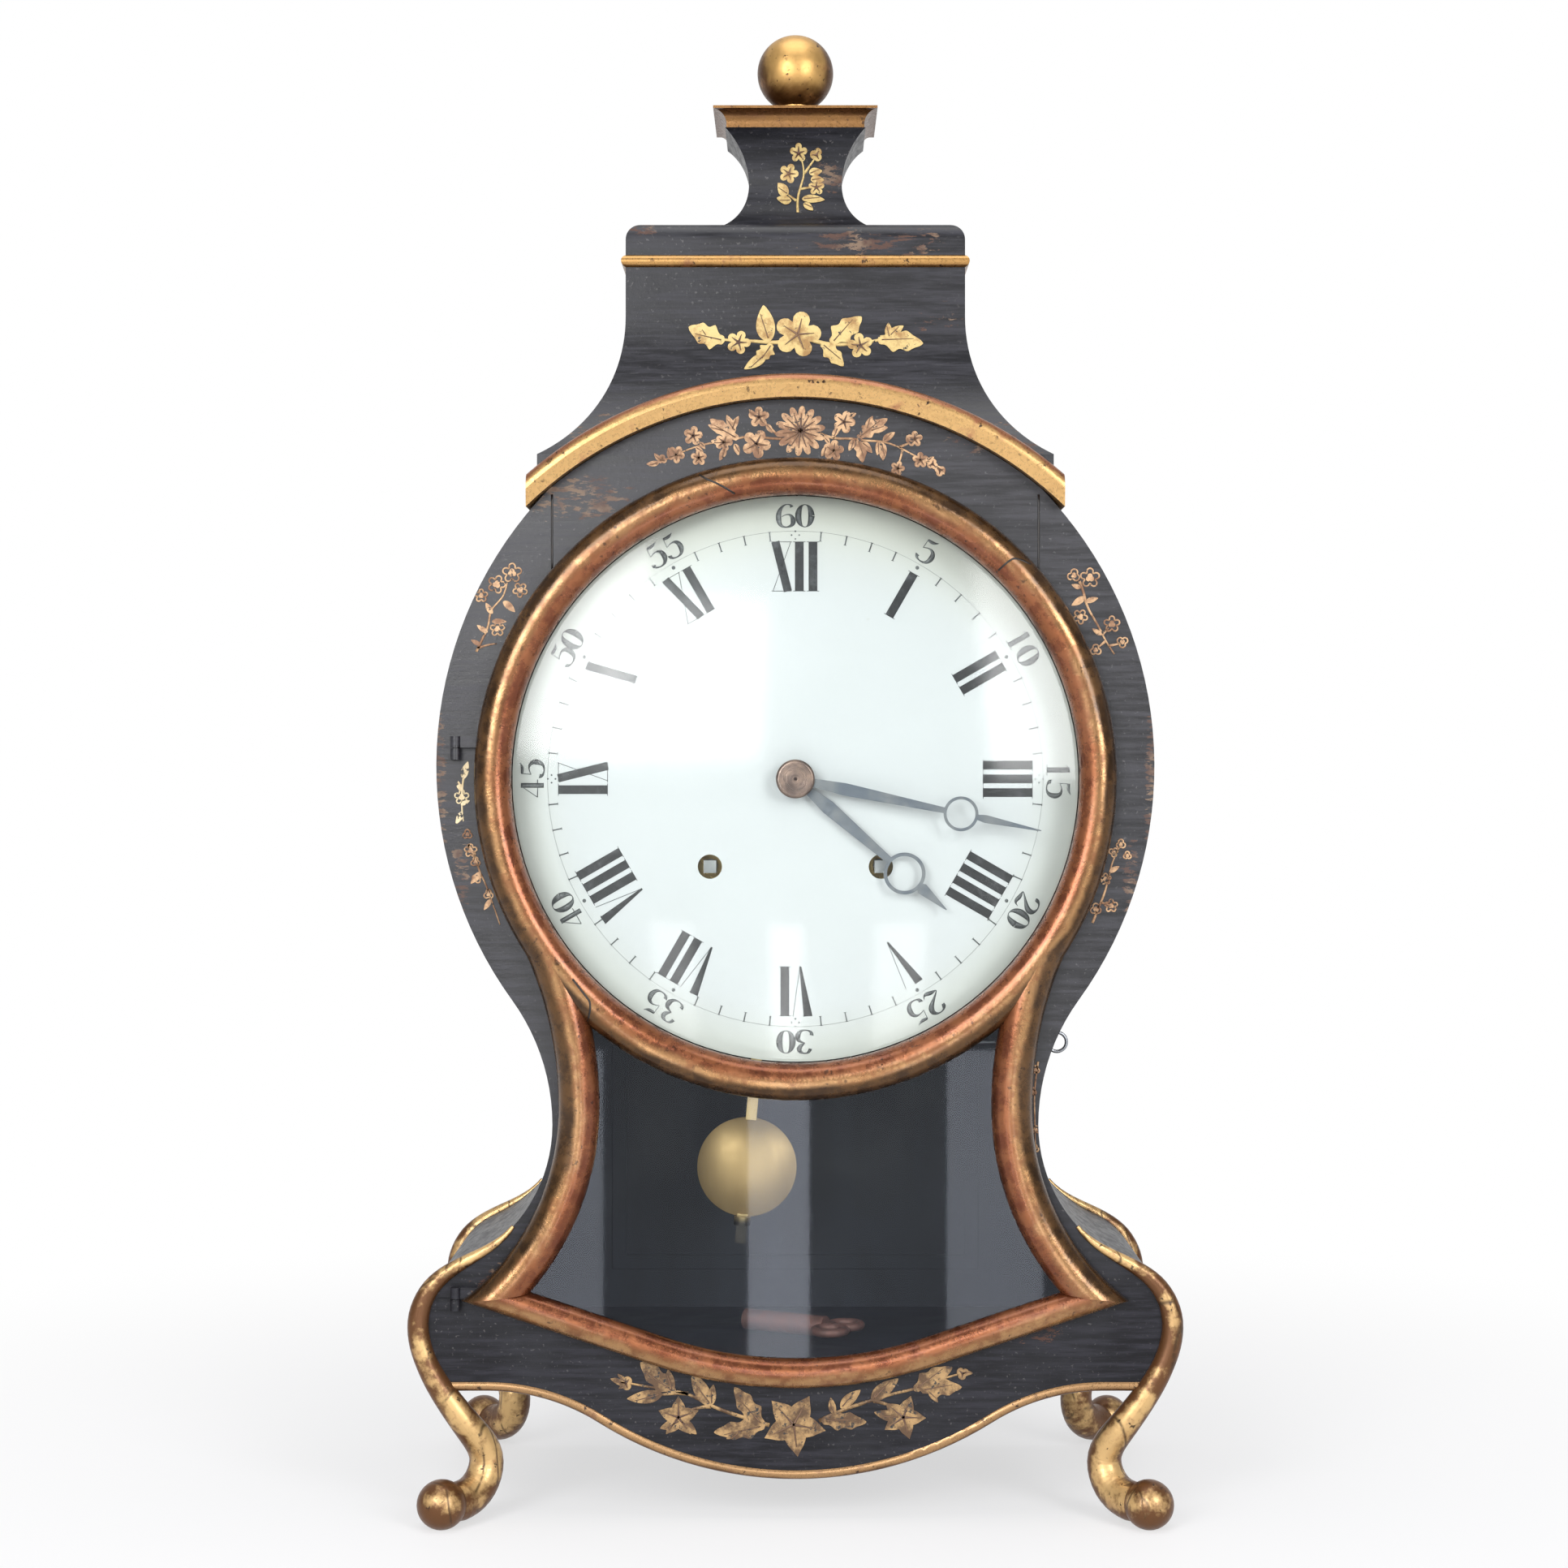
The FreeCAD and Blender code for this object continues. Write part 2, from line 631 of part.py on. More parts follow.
base_end = last(outer[-1])
drop = BEAD_RADIUS * 0.75
bead_y = FRONT + BEAD_RADIUS * 0.75
bead_half = [line((base_end[0], BASE - drop), (HUMP_X, BASE - drop))] + apron_run(drop)
apron_bead = round_bead(whole(bead_half), BEAD_RADIUS, bead_y)
apron_bead = apron_bead.cut(case_block(FRONT, BACK)).cut(leg_fr).cut(leg_fl)
side_x = base_end[0] - drop
side_bead = rod_y(side_x, BASE - drop, BEAD_RADIUS, FRONT, BACK).cut(leg_fr).cut(leg_rr)
side_bead = side_bead.cut(case_block(FRONT, BACK)).cut(apron_bead)
side_bead = max(side_bead.Solids, key=lambda s: s.Volume)
add("base_beads", Part.makeCompound([apron_bead, side_bead, flip_x(side_bead)]))

# Front door: gilt ring, two side mouldings and a bottom rail, with a domed and a flat glass

PANE_INSET = 3.5     # flat glass edge inside the moulding centre lines
PANE_PLAY = 0.15
MITRE_SPARE = 4.0    # degrees that a side moulding runs on before its mitre is cut
ring_flank = DOOR_STEP - RING_HALF
ring = moulding([arc((0.0, DIAL_HEIGHT), RING_MIDDLE, 0, 360)], RING_HALF, ring_flank, DOOR_BACK)
corner_in = corner_at(STILE_HALF, RAIL_HALF)
corner_out = corner_at(-STILE_HALF, -RAIL_HALF)
low_turn = 360 + bearing(LOWER_CENTRE, corner_out) + MITRE_SPARE
stile = moulding(stile_run(0, low_turn), STILE_HALF, DOOR_STEP - STILE_HALF, DOOR_BACK)
rail_reach = math.hypot(corner_out[0], corner_out[1] - RAIL_HEIGHT)
rail_run = rail_half(0, rail_reach)
rail = moulding(rail_run + mirror(rail_run), RAIL_HALF, DOOR_STEP - STILE_HALF, DOOR_BACK)


def mitre(above):
    """Everything above or below the line through the two corners of the door frame."""
    dx = corner_out[0] - corner_in[0]
    dz = corner_out[1] - corner_in[1]
    n = math.hypot(dx, dz)
    m = (dx / n, dz / n)
    size = 2 * RING_OUTER
    side = (-m[1] * size, m[0] * size)
    if not above:
        side = (-side[0], -side[1])
    p = (corner_in[0] - m[0] * n, corner_in[1] - m[1] * n)
    q = (corner_out[0] + m[0] * n, corner_out[1] + m[1] * n)
    points = [p, q, (q[0] + side[0], q[1] + side[1]), (p[0] + side[0], p[1] + side[1])]
    return polygon(points, DOOR_BACK - 2 * DOOR_STEP, DOOR_BACK + DOOR_STEP)


def pane_space(inset, y0, y1):
    return window(inset, y0, y1).cut(rod_y(0, DIAL_HEIGHT, RING_MIDDLE + inset, y0, y1))


rebate = pane_space(PANE_INSET - PANE_PLAY, DOOR_BACK - REBATE, DOOR_BACK)
glass_edge = RING_INNER + GLASS_LAP
ring_rebate = rod_y(0, DIAL_HEIGHT, glass_edge, DOOR_BACK - REBATE, DOOR_BACK)
stile_cut = stile.cut(mitre(False)).cut(ring)
stile_cut = max(stile_cut.Solids, key=lambda s: s.Volume).cut(rebate)
rail_cut = rail.cut(mitre(True)).cut(flip_x(mitre(True)))
rail_cut = max(rail_cut.Solids, key=lambda s: s.Volume).cut(rebate)
ring = ring.cut(ring_rebate).cut(rebate)
add("door_ring", ring)
add("door_stile_right", stile_cut)
add("door_stile_left", flip_x(stile_cut))
add("door_bottom_rail", rail_cut)
pane_y = DOOR_BACK - REBATE + PANE_PLAY
add("window_glass", pane_space(PANE_INSET, pane_y, pane_y + GLASS))


def dome(radius, rise, thick, y_rim):
    """Round sheet that bulges towards the front, with its axis through the dial centre."""
    ball = (radius ** 2 + rise ** 2) / (2 * rise)

    def at(r, back):
        y = y_rim - rise + ball - math.sqrt(ball ** 2 - r ** 2)
        return V(r, y + back, DIAL_HEIGHT)
    face = Part.Face(Part.Wire([
        Part.Arc(at(0, 0), at(radius / 2, 0), at(radius, 0)).toShape(),
        Part.LineSegment(at(radius, 0), at(radius, thick)).toShape(),
        Part.Arc(at(radius, thick), at(radius / 2, thick), at(0, thick)).toShape(),
        Part.LineSegment(at(0, thick), at(0, 0)).toShape(),
    ]))
    return face.revolve(V(0, 0, DIAL_HEIGHT), V(0, 1, 0), 360)


glass_rim = glass_edge - PANE_PLAY
lip_rise = GLASS_RISE * (1 - (RING_INNER / glass_rim) ** 2)
glass_y = DOOR_BACK - REBATE + lip_rise + PANE_PLAY / 2
add("dial_glass", dome(glass_rim, GLASS_RISE, GLASS, glass_y))

# Door hinges on the left: fixed knuckles with pins on the case, loose knuckles on the door

HINGE_Y = FRONT - KNUCKLE - HINGE_LEAF * 0.85
UPPER_HINGE = DIAL_HEIGHT + 13.5
LOWER_HINGE = corner_out[1] + 0.4
LEAF_REACH = 8.0
case_bits = []
door_bits = []
for zh in (UPPER_HINGE, LOWER_HINGE):
    top = zh + GAP + KNUCKLE_LENGTH
    leaf = box(-HINGE_X - LEAF_REACH, -HINGE_X, FRONT - HINGE_LEAF, FRONT, zh - KNUCKLE_LENGTH, zh)
    fixed = rod_z(-HINGE_X, HINGE_Y, KNUCKLE, zh - KNUCKLE_LENGTH, zh)
    pin = rod_z(-HINGE_X, HINGE_Y, HINGE_PIN, zh - KNUCKLE_LENGTH, top)
    case_bits.append(fuse([leaf, fixed, pin]))
    reach = HINGE_X - RING_OUTER + LEAF_REACH
    arm = box(-HINGE_X, -HINGE_X + reach, HINGE_Y - HINGE_LEAF / 2, HINGE_Y + HINGE_LEAF / 2, zh + GAP, top)
    loose = fuse([arm, rod_z(-HINGE_X, HINGE_Y, KNUCKLE, zh + GAP, top)])
    loose = loose.cut(rod_z(-HINGE_X, HINGE_Y, HINGE_PIN + RUN, zh, top + GAP))
    loose = loose.cut(ring).cut(parts["door_stile_left"]).cut(rail_cut)
    door_bits.append(max(loose.Solids, key=lambda s: abs(s.BoundBox.XMin)))
add("door_hinge_leaves", Part.makeCompound(door_bits))

# Rear door with its hinges and a turned knob

REAR_HINGE_X = -REAR_DOOR_HALF
REAR_HINGE_Y = BACK + KNUCKLE + HINGE_LEAF * 0.85
REAR_KNOB = 6.0
play = 2 * GAP
rear = box(-REAR_DOOR_HALF + play, REAR_DOOR_HALF - play, BACK - BACK_BOARD, BACK,
           REAR_DOOR_LOW + play, REAR_DOOR_TOP - play)
knob_x = REAR_DOOR_HALF - 3 * REAR_KNOB
knob_z = (REAR_DOOR_LOW + REAR_DOOR_TOP) / 2
knob = [rod_y(knob_x, knob_z, REAR_KNOB / 2, BACK, BACK + REAR_KNOB),
        Part.makeSphere(REAR_KNOB, V(knob_x, BACK + 1.6 * REAR_KNOB, knob_z))]
add("rear_door", fuse([rear] + knob))
rear_bits = []
third_part = (REAR_DOOR_TOP - REAR_DOOR_LOW) / 6
REAR_LEAF = 4 * KNUCKLE_LENGTH
for zh in (REAR_DOOR_LOW + third_part, REAR_DOOR_TOP - third_part):
    low = zh - REAR_LEAF / 2
    top = zh + GAP + REAR_LEAF / 2
    leaf = box(REAR_HINGE_X - 2 * LEAF_REACH, REAR_HINGE_X, BACK, BACK + HINGE_LEAF, low, zh)
    fixed = rod_z(REAR_HINGE_X, REAR_HINGE_Y, KNUCKLE, low, zh)
    pin = rod_z(REAR_HINGE_X, REAR_HINGE_Y, HINGE_PIN, low, top)
    case_bits.append(fuse([leaf, fixed, pin]))
    leaf = box(REAR_HINGE_X, REAR_HINGE_X + 2 * LEAF_REACH, BACK, BACK + HINGE_LEAF, zh + GAP, top)
    loose = fuse([leaf, rod_z(REAR_HINGE_X, REAR_HINGE_Y, KNUCKLE, zh + GAP, top)])
    rear_bits.append(loose.cut(rod_z(REAR_HINGE_X, REAR_HINGE_Y, HINGE_PIN + RUN, zh, top + GAP)))
add("rear_hinge_leaves", Part.makeCompound(rear_bits))
add("case_hinges", Part.makeCompound(case_bits))

# Crown: hollow coved hood, gilt arch moulding, bead, tier, neck, cap and ball

COVE_RADIUS = COVE_STEP / (1 - math.cos(math.radians(COVE_TURN)))
COVE_START = CROWN_EDGE + COVE_RADIUS * math.sin(math.radians(COVE_TURN))
TIER_HALF = CROWN_HALF - COVE_STEP
TIER_FRONT = FRONT + COVE_STEP
NECK_Y = (TIER_FRONT + BACK) / 2


def to_front(pieces, half, front):
    """Side profile (half width, height) turned into a front profile (y, height)."""
    out = []
    for p in pieces:
        if p[0] == "line":
            out.append(line((front + half - p[1][0], p[1][1]), (front + half - p[2][0], p[2][1])))
        else:
            out.append(arc((front + half - p[1][0], p[1][1]), p[2], 180 - p[3], 180 - p[4]))
    return out


def mitred(profile, half, front, back, four_sided):
    """Block whose sides and front follow one rising profile, with mitred corners."""
    z0 = first(profile[0])[1]
    z1 = last(profile[-1])[1]
    wide = [line((0.0, z0), first(profile[0]))] + profile + [line(last(profile[-1]), (0.0, z1))]
    across = prism(whole(wide), front - 2 * half, back + 2 * half)
    deep = to_front(profile, half, front)
    if four_sided:
        behind = [shifted(p, front + back) for p in mirror(deep)]
        run = deep + behind
    else:
        run = deep + [line((back, z1), (back, z0))]
    along = prism(run, -3 * half, 3 * half)
    along.rotate(V(0, 0, 0), V(0, 0, 1), 90)
    return across.common(along)


def shifted(piece, dx):
    if piece[0] == "line":
        return line((piece[1][0] + dx, piece[1][1]), (piece[2][0] + dx, piece[2][1]))
    return arc((piece[1][0] + dx, piece[1][1]), piece[2], piece[3], piece[4])


def cove(inset, low, high):
    """Side profile of the hood, moved inwards: an upright edge, a hollow curve, an upright top."""
    c = (TIER_HALF + COVE_RADIUS, COVE_START)
    r = COVE_RADIUS + inset
    x = CROWN_HALF - inset
    turn = math.degrees(math.acos((c[0] - x) / r))
    return [
        line((x, low), polar(c[0], c[1], r, 180 + turn)),
        arc(c, r, 180 + turn, 180),
        line((TIER_HALF - inset, COVE_START), (TIER_HALF - inset, high)),
    ]


CROWN_LOW = ARCH_CENTRE + ARCH_RADIUS * math.cos(math.radians(ARCH_END)) - ARCH_WIDTH
roof_space = rod_y(0, ARCH_CENTRE, ARCH_RADIUS + GAP, FRONT - CASE_DEPTH, BACK + CASE_DEPTH)
hood = mitred(cove(0, CROWN_LOW, COVE_END), CROWN_HALF, FRONT, BACK, False)
hollow = mitred(cove(CROWN_WALL, CROWN_LOW - CROWN_WALL, COVE_END - CROWN_WALL), CROWN_HALF - CROWN_WALL,
                FRONT + CROWN_WALL, BACK - CROWN_WALL, False)
add("crown_hood", hood.cut(hollow).cut(roof_space))

arch_low = ARCH_RADIUS + GAP
arch_high = arch_low + ARCH_WIDTH
arch_tip = FRONT - ARCH_NOSE
arch_back = FRONT + COVE_STEP
arch_edge = ARCH_WIDTH - ARCH_FLAT
arch_side = CROWN_HALF + ARCH_OUT
arch_sweep = math.degrees(math.asin(arch_side / arch_low)) + ARCH_OVER
edge_turn = math.radians(45)
foot = V(arch_low, arch_tip + ARCH_LEAN, 0)
brow = V(arch_low + ARCH_FLAT, arch_tip, 0)
crest = V(arch_high, arch_tip + arch_edge, 0)
bend = V(arch_high - arch_edge * (1 - math.sin(edge_turn)), crest.y - arch_edge * math.cos(edge_turn), 0)
arch_face = Part.Face(Part.Wire([
    Part.LineSegment(V(arch_low, arch_back, 0), foot).toShape(),
    Part.LineSegment(foot, brow).toShape(),
    Part.Arc(brow, bend, crest).toShape(),
    Part.LineSegment(crest, V(arch_high, arch_back, 0)).toShape(),
    Part.LineSegment(V(arch_high, arch_back, 0), V(arch_low, arch_back, 0)).toShape(),
]))
arch_face.translate(V(0, 0, ARCH_CENTRE))
arch_face.rotate(V(0, 0, ARCH_CENTRE), V(0, -1, 0), 90 - arch_sweep)
arch_band = arch_face.revolve(V(0, 0, ARCH_CENTRE), V(0, -1, 0), 2 * arch_sweep)
arch_ends = box(-arch_side, arch_side, arch_tip - GAP, arch_back + GAP, ARCH_CENTRE, COVE_END)
arch_band = arch_band.common(arch_ends)
arch_ring = rod_y(0, ARCH_CENTRE, arch_high, FRONT, BACK).cut(rod_y(0, ARCH_CENTRE, arch_low, FRONT, BACK))
for side in (-1, 1):
    inner = side * CROWN_HALF
    outer = side * arch_side
    strip = box(min(inner, outer), max(inner, outer), FRONT, BACK, ARCH_CENTRE, COVE_END)
    arch_band = arch_band.fuse(arch_ring.common(strip))
arch_band = arch_band.cut(hood).removeSplitter()
add("arch_moulding", max(arch_band.Solids, key=lambda s: s.Volume))

bead_r = CROWN_BEAD / 2
bead_half_x = TIER_HALF + CROWN_BEAD_OUT
bead_top = COVE_END + CROWN_BEAD
bead_x = bead_half_x - bead_r
bead_profile = [arc((bead_x, COVE_END + bead_r), bead_r, -90, 90)]
add("crown_bead", mitred(bead_profile, bead_half_x, TIER_FRONT - CROWN_BEAD_OUT, BACK, False))
tier_top = bead_top + TIER_HEIGHT
tier_profile = [
    line((TIER_HALF, bead_top), (TIER_HALF, tier_top - TIER_EDGE)),
    arc((TIER_HALF - TIER_EDGE, tier_top - TIER_EDGE), TIER_EDGE, 0, 90),
]
add("crown_tier", mitred(tier_profile, TIER_HALF, TIER_FRONT, BACK, False))

neck_waist = tier_top + NECK_LOWER_RADIUS
neck_turn = math.degrees(math.asin(NECK_UPPER_RISE / NECK_UPPER_RADIUS))
neck_c = (NECK_HALF + NECK_UPPER_RADIUS, neck_waist)
neck_profile = [
    arc((NECK_HALF + NECK_LOWER_RADIUS, neck_waist), NECK_LOWER_RADIUS, 270, 180),
    arc(neck_c, NECK_UPPER_RADIUS, 180, 180 - neck_turn),
]
neck_deep = NECK_HALF - NECK_NARROWER
add("crown_neck", mitred(neck_profile, NECK_HALF, NECK_Y - neck_deep, NECK_Y + neck_deep, True))
neck_top = neck_waist + NECK_UPPER_RISE
cap_step = CAP_HALF - CAP_LOW_HALF
cap_profile = [
    line((CAP_LOW_HALF, neck_top), (CAP_LOW_HALF, neck_top + CAP_HEIGHT * 0.2)),
    arc((CAP_HALF, neck_top + CAP_HEIGHT * 0.2), cap_step, 180, 90),
    line((CAP_HALF, neck_top + CAP_HEIGHT * 0.2 + cap_step), (CAP_HALF, neck_top + CAP_HEIGHT)),
]
cap_deep = CAP_HALF - NECK_NARROWER
add("crown_cap", mitred(cap_profile, CAP_HALF, NECK_Y - cap_deep, NECK_Y + cap_deep, True))
cap_top = neck_top + CAP_HEIGHT
ball_z = cap_top + BALL_STEM + BALL_RADIUS
finial = fuse([rod_z(0, NECK_Y, STEM_RADIUS, cap_top, ball_z),
               Part.makeSphere(BALL_RADIUS, V(0, NECK_Y, ball_z))])
add("ball_finial", finial)

# Dial and hands

CENTRE_HOLE = 6.0
dial = dome(DIAL_RADIUS, DIAL_RISE, DIAL_SHEET, DIAL_Y)
for x, z, r in ((0, 0, CENTRE_HOLE), (WIND_X, -WIND_DROP, WIND_HOLE), (-WIND_X, -WIND_DROP, WIND_HOLE)):
    dial = dial.cut(rod_y(x, DIAL_HEIGHT + z, r, DIAL_Y - 3 * DIAL_RISE, DIAL_Y + 3 * DIAL_SHEET))
FOOT = 2.5
FOOT_AT = 60.0
foot_far = math.hypot(FOOT_AT, FOOT_AT)
foot_y = DIAL_Y + DIAL_SHEET / 2 - DIAL_RISE * (1 - (foot_far / DIAL_RADIUS) ** 2)
feet = []
for sx in (-1, 1):
    for sz in (-1, 1):
        feet.append(rod_y(sx * FOOT_AT, DIAL_HEIGHT + sz * FOOT_AT, FOOT, foot_y, PLATE_FRONT))
add("dial", fuse([dial] + feet))

CANNON_PIPE = 3.0
HOUR_PIPE = 4.6
HAND_SPACE = 2.6
hour_back = DIAL_Y - DIAL_RISE - HAND_SPACE
hour_front = hour_back - HAND_SHEET
minute_back = hour_front - HAND_SPACE
minute_front = minute_back - HAND_SHEET


def hand(length, ring_at, ring_r, hub, wide, neck, tip, y0, y1):
    """Hand pointing up: a swelling stem, an open ring and a leaf point."""
    h = DIAL_HEIGHT
    band = ring_r * 0.17
    stem_end = ring_at - ring_r + band
    start = ring_at + ring_r - band
    leaf = start + 0.16 * (length - start)
    half_stem = [(neck, 0.0), (neck, hub), (wide, ring_at * 0.3), (neck * 0.75, stem_end)]
    half_point = [(neck * 0.6, start), (tip, leaf), (POINT, length)]
    pieces = [rod_y(0, h, hub, y0, y1)]
    for half in (half_stem, half_point):
        right = [(x, h + z) for x, z in half]
        left = [(-x, h + z) for x, z in reversed(half)]
        pieces.append(polygon(right + left, y0, y1))
    loop = rod_y(0, h + ring_at, ring_r, y0, y1)
    pieces.append(loop.cut(rod_y(0, h + ring_at, ring_r - band, y0 - 1, y1 + 1)))
    return fuse(pieces)


def about_dial(shape, turn):
    shape.rotate(V(0, 0, DIAL_HEIGHT), V(0, 1, 0), turn)
    return shape


HOUR_HUB = 8.0
MINUTE_HUB = 6.5
hour_hand = hand(HOUR_LENGTH, HOUR_RING_AT, HOUR_RING, HOUR_HUB, HOUR_WIDE, HOUR_NECK, HOUR_LEAF,
                 hour_front, hour_back)
hour_hand = hour_hand.cut(rod_y(0, DIAL_HEIGHT, HOUR_PIPE, hour_front - 1, hour_back + 1))
add("hour_hand", about_dial(hour_hand, HOUR_TURN))
minute_hand = hand(MINUTE_LENGTH, MINUTE_RING_AT, MINUTE_RING, MINUTE_HUB, MINUTE_WIDE, MINUTE_NECK,
                   MINUTE_LEAF, minute_front, minute_back)
minute_hand = minute_hand.cut(rod_y(0, DIAL_HEIGHT, CANNON_PIPE, minute_front - 1, minute_back + 1))
add("minute_hand", about_dial(minute_hand, MINUTE_TURN))
COLLET = 2.4
collet_front = minute_front - COLLET
collet = rod_y(0, DIAL_HEIGHT, COLLET_RADIUS, collet_front, minute_front)
rim = [e for e in collet.Edges if abs(e.BoundBox.YMax - collet_front) < 1e-6]
collet = collet.makeFillet(COLLET * 0.6, rim)
collet = collet.cut(rod_y(0, DIAL_HEIGHT, ARBOR + RUN, minute_front - COLLET / 2, minute_front + 1))
add("hand_collet", collet)

# Movement: two trains between brass plates

ADDENDUM = 0.75      # tooth height above the pitch circle, in modules
DEDENDUM = 1.1
TOOTH_ROOT = 0.2     # half width of a tooth at its root and tip, in pitches
TOOTH_TIP = 0.08


def gear(teeth, module, at, phase, y0, y1):
    """Toothed disc about a point of the XZ plane, with a tooth at the phase angle (radians)."""
    r = teeth * module / 2
    step = 2 * math.pi / teeth
    points = []
    for k in range(teeth):
        a = phase + k * step
        for side, rr in ((-TOOTH_ROOT, r - DEDENDUM * module), (-TOOTH_TIP, r + ADDENDUM * module),
                         (TOOTH_TIP, r + ADDENDUM * module), (TOOTH_ROOT, r - DEDENDUM * module)):
            t = a + side * step
            points.append((at[0] + rr * math.cos(t), DIAL_HEIGHT + at[1] + rr * math.sin(t)))
    return polygon(points, y0, y1)


def in_mesh(teeth_a, at_a, teeth_b, at_b):
    """Phase of gear b that meshes with gear a, which has a tooth at angle zero."""
    line_up = math.atan2(at_b[1] - at_a[1], at_b[0] - at_a[0])
    return line_up + math.pi + line_up * teeth_a / teeth_b + math.pi / teeth_b


def pivoted(at):
    """Arbor between the plates with a pivot in each."""
    z = DIAL_HEIGHT + at[1]
    return [rod_y(at[0], z, ARBOR, LEVEL + GAP, PLATE_BACK - GAP),
            rod_y(at[0], z, PIVOT, PLATE_FRONT, PLATE_BACK + PLATE)]


# Tooth counts and modules
GREAT = 84
GREAT_MODULE = 0.85
GREAT_PINION = 12
SECOND = 72
SECOND_MODULE = 0.7
SECOND_PINION = 8
CENTRE = 84
TRAIN_MODULE = 0.6
SMALL_PINION = 7
THIRD = 69
ESCAPE_TEETH = 30
ESCAPE_RADIUS = 15.0
ESCAPE_LIFT = 48.0
PIN_WHEEL = 60
PIN_MODULE = 0.65
WARNING_PINION = 7
WARNING = 48
MOTION_MODULE = 0.7
CANNON = 12
MINUTE_WHEEL = 36
MOTION_PINION = 10
HOUR_WHEEL = 40

great_d = GREAT_MODULE * (GREAT + GREAT_PINION) / 2
second_d = SECOND_MODULE * (SECOND + SECOND_PINION) / 2
third_d = TRAIN_MODULE * (CENTRE + SMALL_PINION) / 2
escape_d = TRAIN_MODULE * (THIRD + SMALL_PINION) / 2
warning_d = PIN_MODULE * (PIN_WHEEL + WARNING_PINION) / 2
fly_d = TRAIN_MODULE * (WARNING + WARNING_PINION) / 2
motion_d = MOTION_MODULE * (CANNON + MINUTE_WHEEL) / 2
hour_module = 2 * motion_d / (MOTION_PINION + HOUR_WHEEL)

centre_at = (0.0, 0.0)
going_at = (WIND_X, -WIND_DROP)
going_second_at = meet(going_at, great_d, centre_at, second_d, -1)
escape_at = (0.0, ESCAPE_LIFT)
third_at = meet(centre_at, third_d, escape_at, escape_d, -1)
pallet_at = (0.0, PALLET_LIFT)
strike_at = (-WIND_X, -WIND_DROP)
strike_second_at = (strike_at[0], strike_at[1] + great_d)
pin_at = (strike_at[0], strike_second_at[1] + second_d)
warning_at = (strike_at[0], pin_at[1] + warning_d)
fly_at = (strike_at[0], warning_at[1] + fly_d)
hammer_at = (strike_at[0] - 26.0, pin_at[1] + 10.0)
motion_at = (0.0, -motion_d)

# Levels behind the front plate's inner face
L_SECOND = LEVEL + 3.0
L_GREAT = LEVEL + 8.0
GREAT_WIDTH = 2.5
BARREL_LENGTH = 27.5
L_PIN = LEVEL + 20.0
L_WARNING = LEVEL + 28.0
L_THIRD = LEVEL + 30.0
L_ESCAPE = LEVEL + 36.0
L_CENTRE = LEVEL + 40.0
PINION_LAP = 1.0     # how far a pinion stands past its wheel at each side


def wheel_work(at, pinion, wheel):
    """One train arbor: pinion and wheel as (teeth, module, phase, y) tuples."""
    teeth, module, phase, y, width = pinion
    out = pivoted(at) + [gear(teeth, module, at, phase, y - PINION_LAP, y + width + PINION_LAP)]
    if wheel:
        teeth, module, phase, y, width = wheel
        out.append(gear(teeth, module, at, phase, y, y + width))
    return fuse(out)


def barrel(at):
    """Spring barrel: great wheel, drum and lid, hollow for the mainspring."""
    z = DIAL_HEIGHT + at[1]
    y0 = L_GREAT + GREAT_WIDTH
    y1 = y0 + BARREL_LENGTH
    body = fuse([gear(GREAT, GREAT_MODULE, at, 0.0, L_GREAT, y0), rod_y(at[0], z, BARREL_RADIUS, y0, y1)])
    body = body.cut(rod_y(at[0], z, BARREL_RADIUS - BARREL_WALL, y0, y1 - BARREL_WALL))
    return body.cut(rod_y(at[0], z, BARREL_ARBOR + RUN, L_GREAT - 1, y1 + 1))


WIND_PIVOT = 3.0


def winding_arbor(at):
    """Barrel arbor with a square that reaches the dial."""
    z = DIAL_HEIGHT + at[1]
    far_at = math.hypot(at[0], at[1])
    tip = DIAL_Y - DIAL_RISE * (1 - (far_at / DIAL_RADIUS) ** 2)
    half = WIND_SQUARE / 2
    square = box(at[0] - half, at[0] + half, tip, PLATE_FRONT - PLATE, z - half, z + half)
    return fuse([square, rod_y(at[0], z, WIND_PIVOT, PLATE_FRONT - 2 * PLATE, PLATE_BACK + PLATE),
                 rod_y(at[0], z, BARREL_ARBOR, LEVEL + GAP, PLATE_BACK - GAP)])


add("going_barrel", barrel(going_at))
add("strike_barrel", barrel(strike_at))
add("going_winding_arbor", winding_arbor(going_at))
add("strike_winding_arbor", winding_arbor(strike_at))
phase = in_mesh(GREAT, going_at, GREAT_PINION, going_second_at)
add("going_second_wheel", wheel_work(
    going_second_at,
    (GREAT_PINION, GREAT_MODULE, phase, L_GREAT, GREAT_WIDTH),
    (SECOND, SECOND_MODULE, 0.0, L_SECOND, WHEEL)))
phase = in_mesh(SECOND, going_second_at, SECOND_PINION, centre_at)
centre = wheel_work(
    centre_at,
    (SECOND_PINION, SECOND_MODULE, phase, L_SECOND, WHEEL),
    (CENTRE, TRAIN_MODULE, 0.0, L_CENTRE, WHEEL))
hand_arbor = rod_y(0, DIAL_HEIGHT, ARBOR, minute_front - COLLET / 2 + GAP, LEVEL + PLATE)
add("centre_wheel", fuse([centre, hand_arbor]))
phase = in_mesh(CENTRE, centre_at, SMALL_PINION, third_at)
add("third_wheel", wheel_work(
    third_at,
    (SMALL_PINION, TRAIN_MODULE, phase, L_CENTRE, WHEEL),
    (THIRD, TRAIN_MODULE, 0.0, L_THIRD, WHEEL)))
saw = []
step = 360.0 / ESCAPE_TEETH
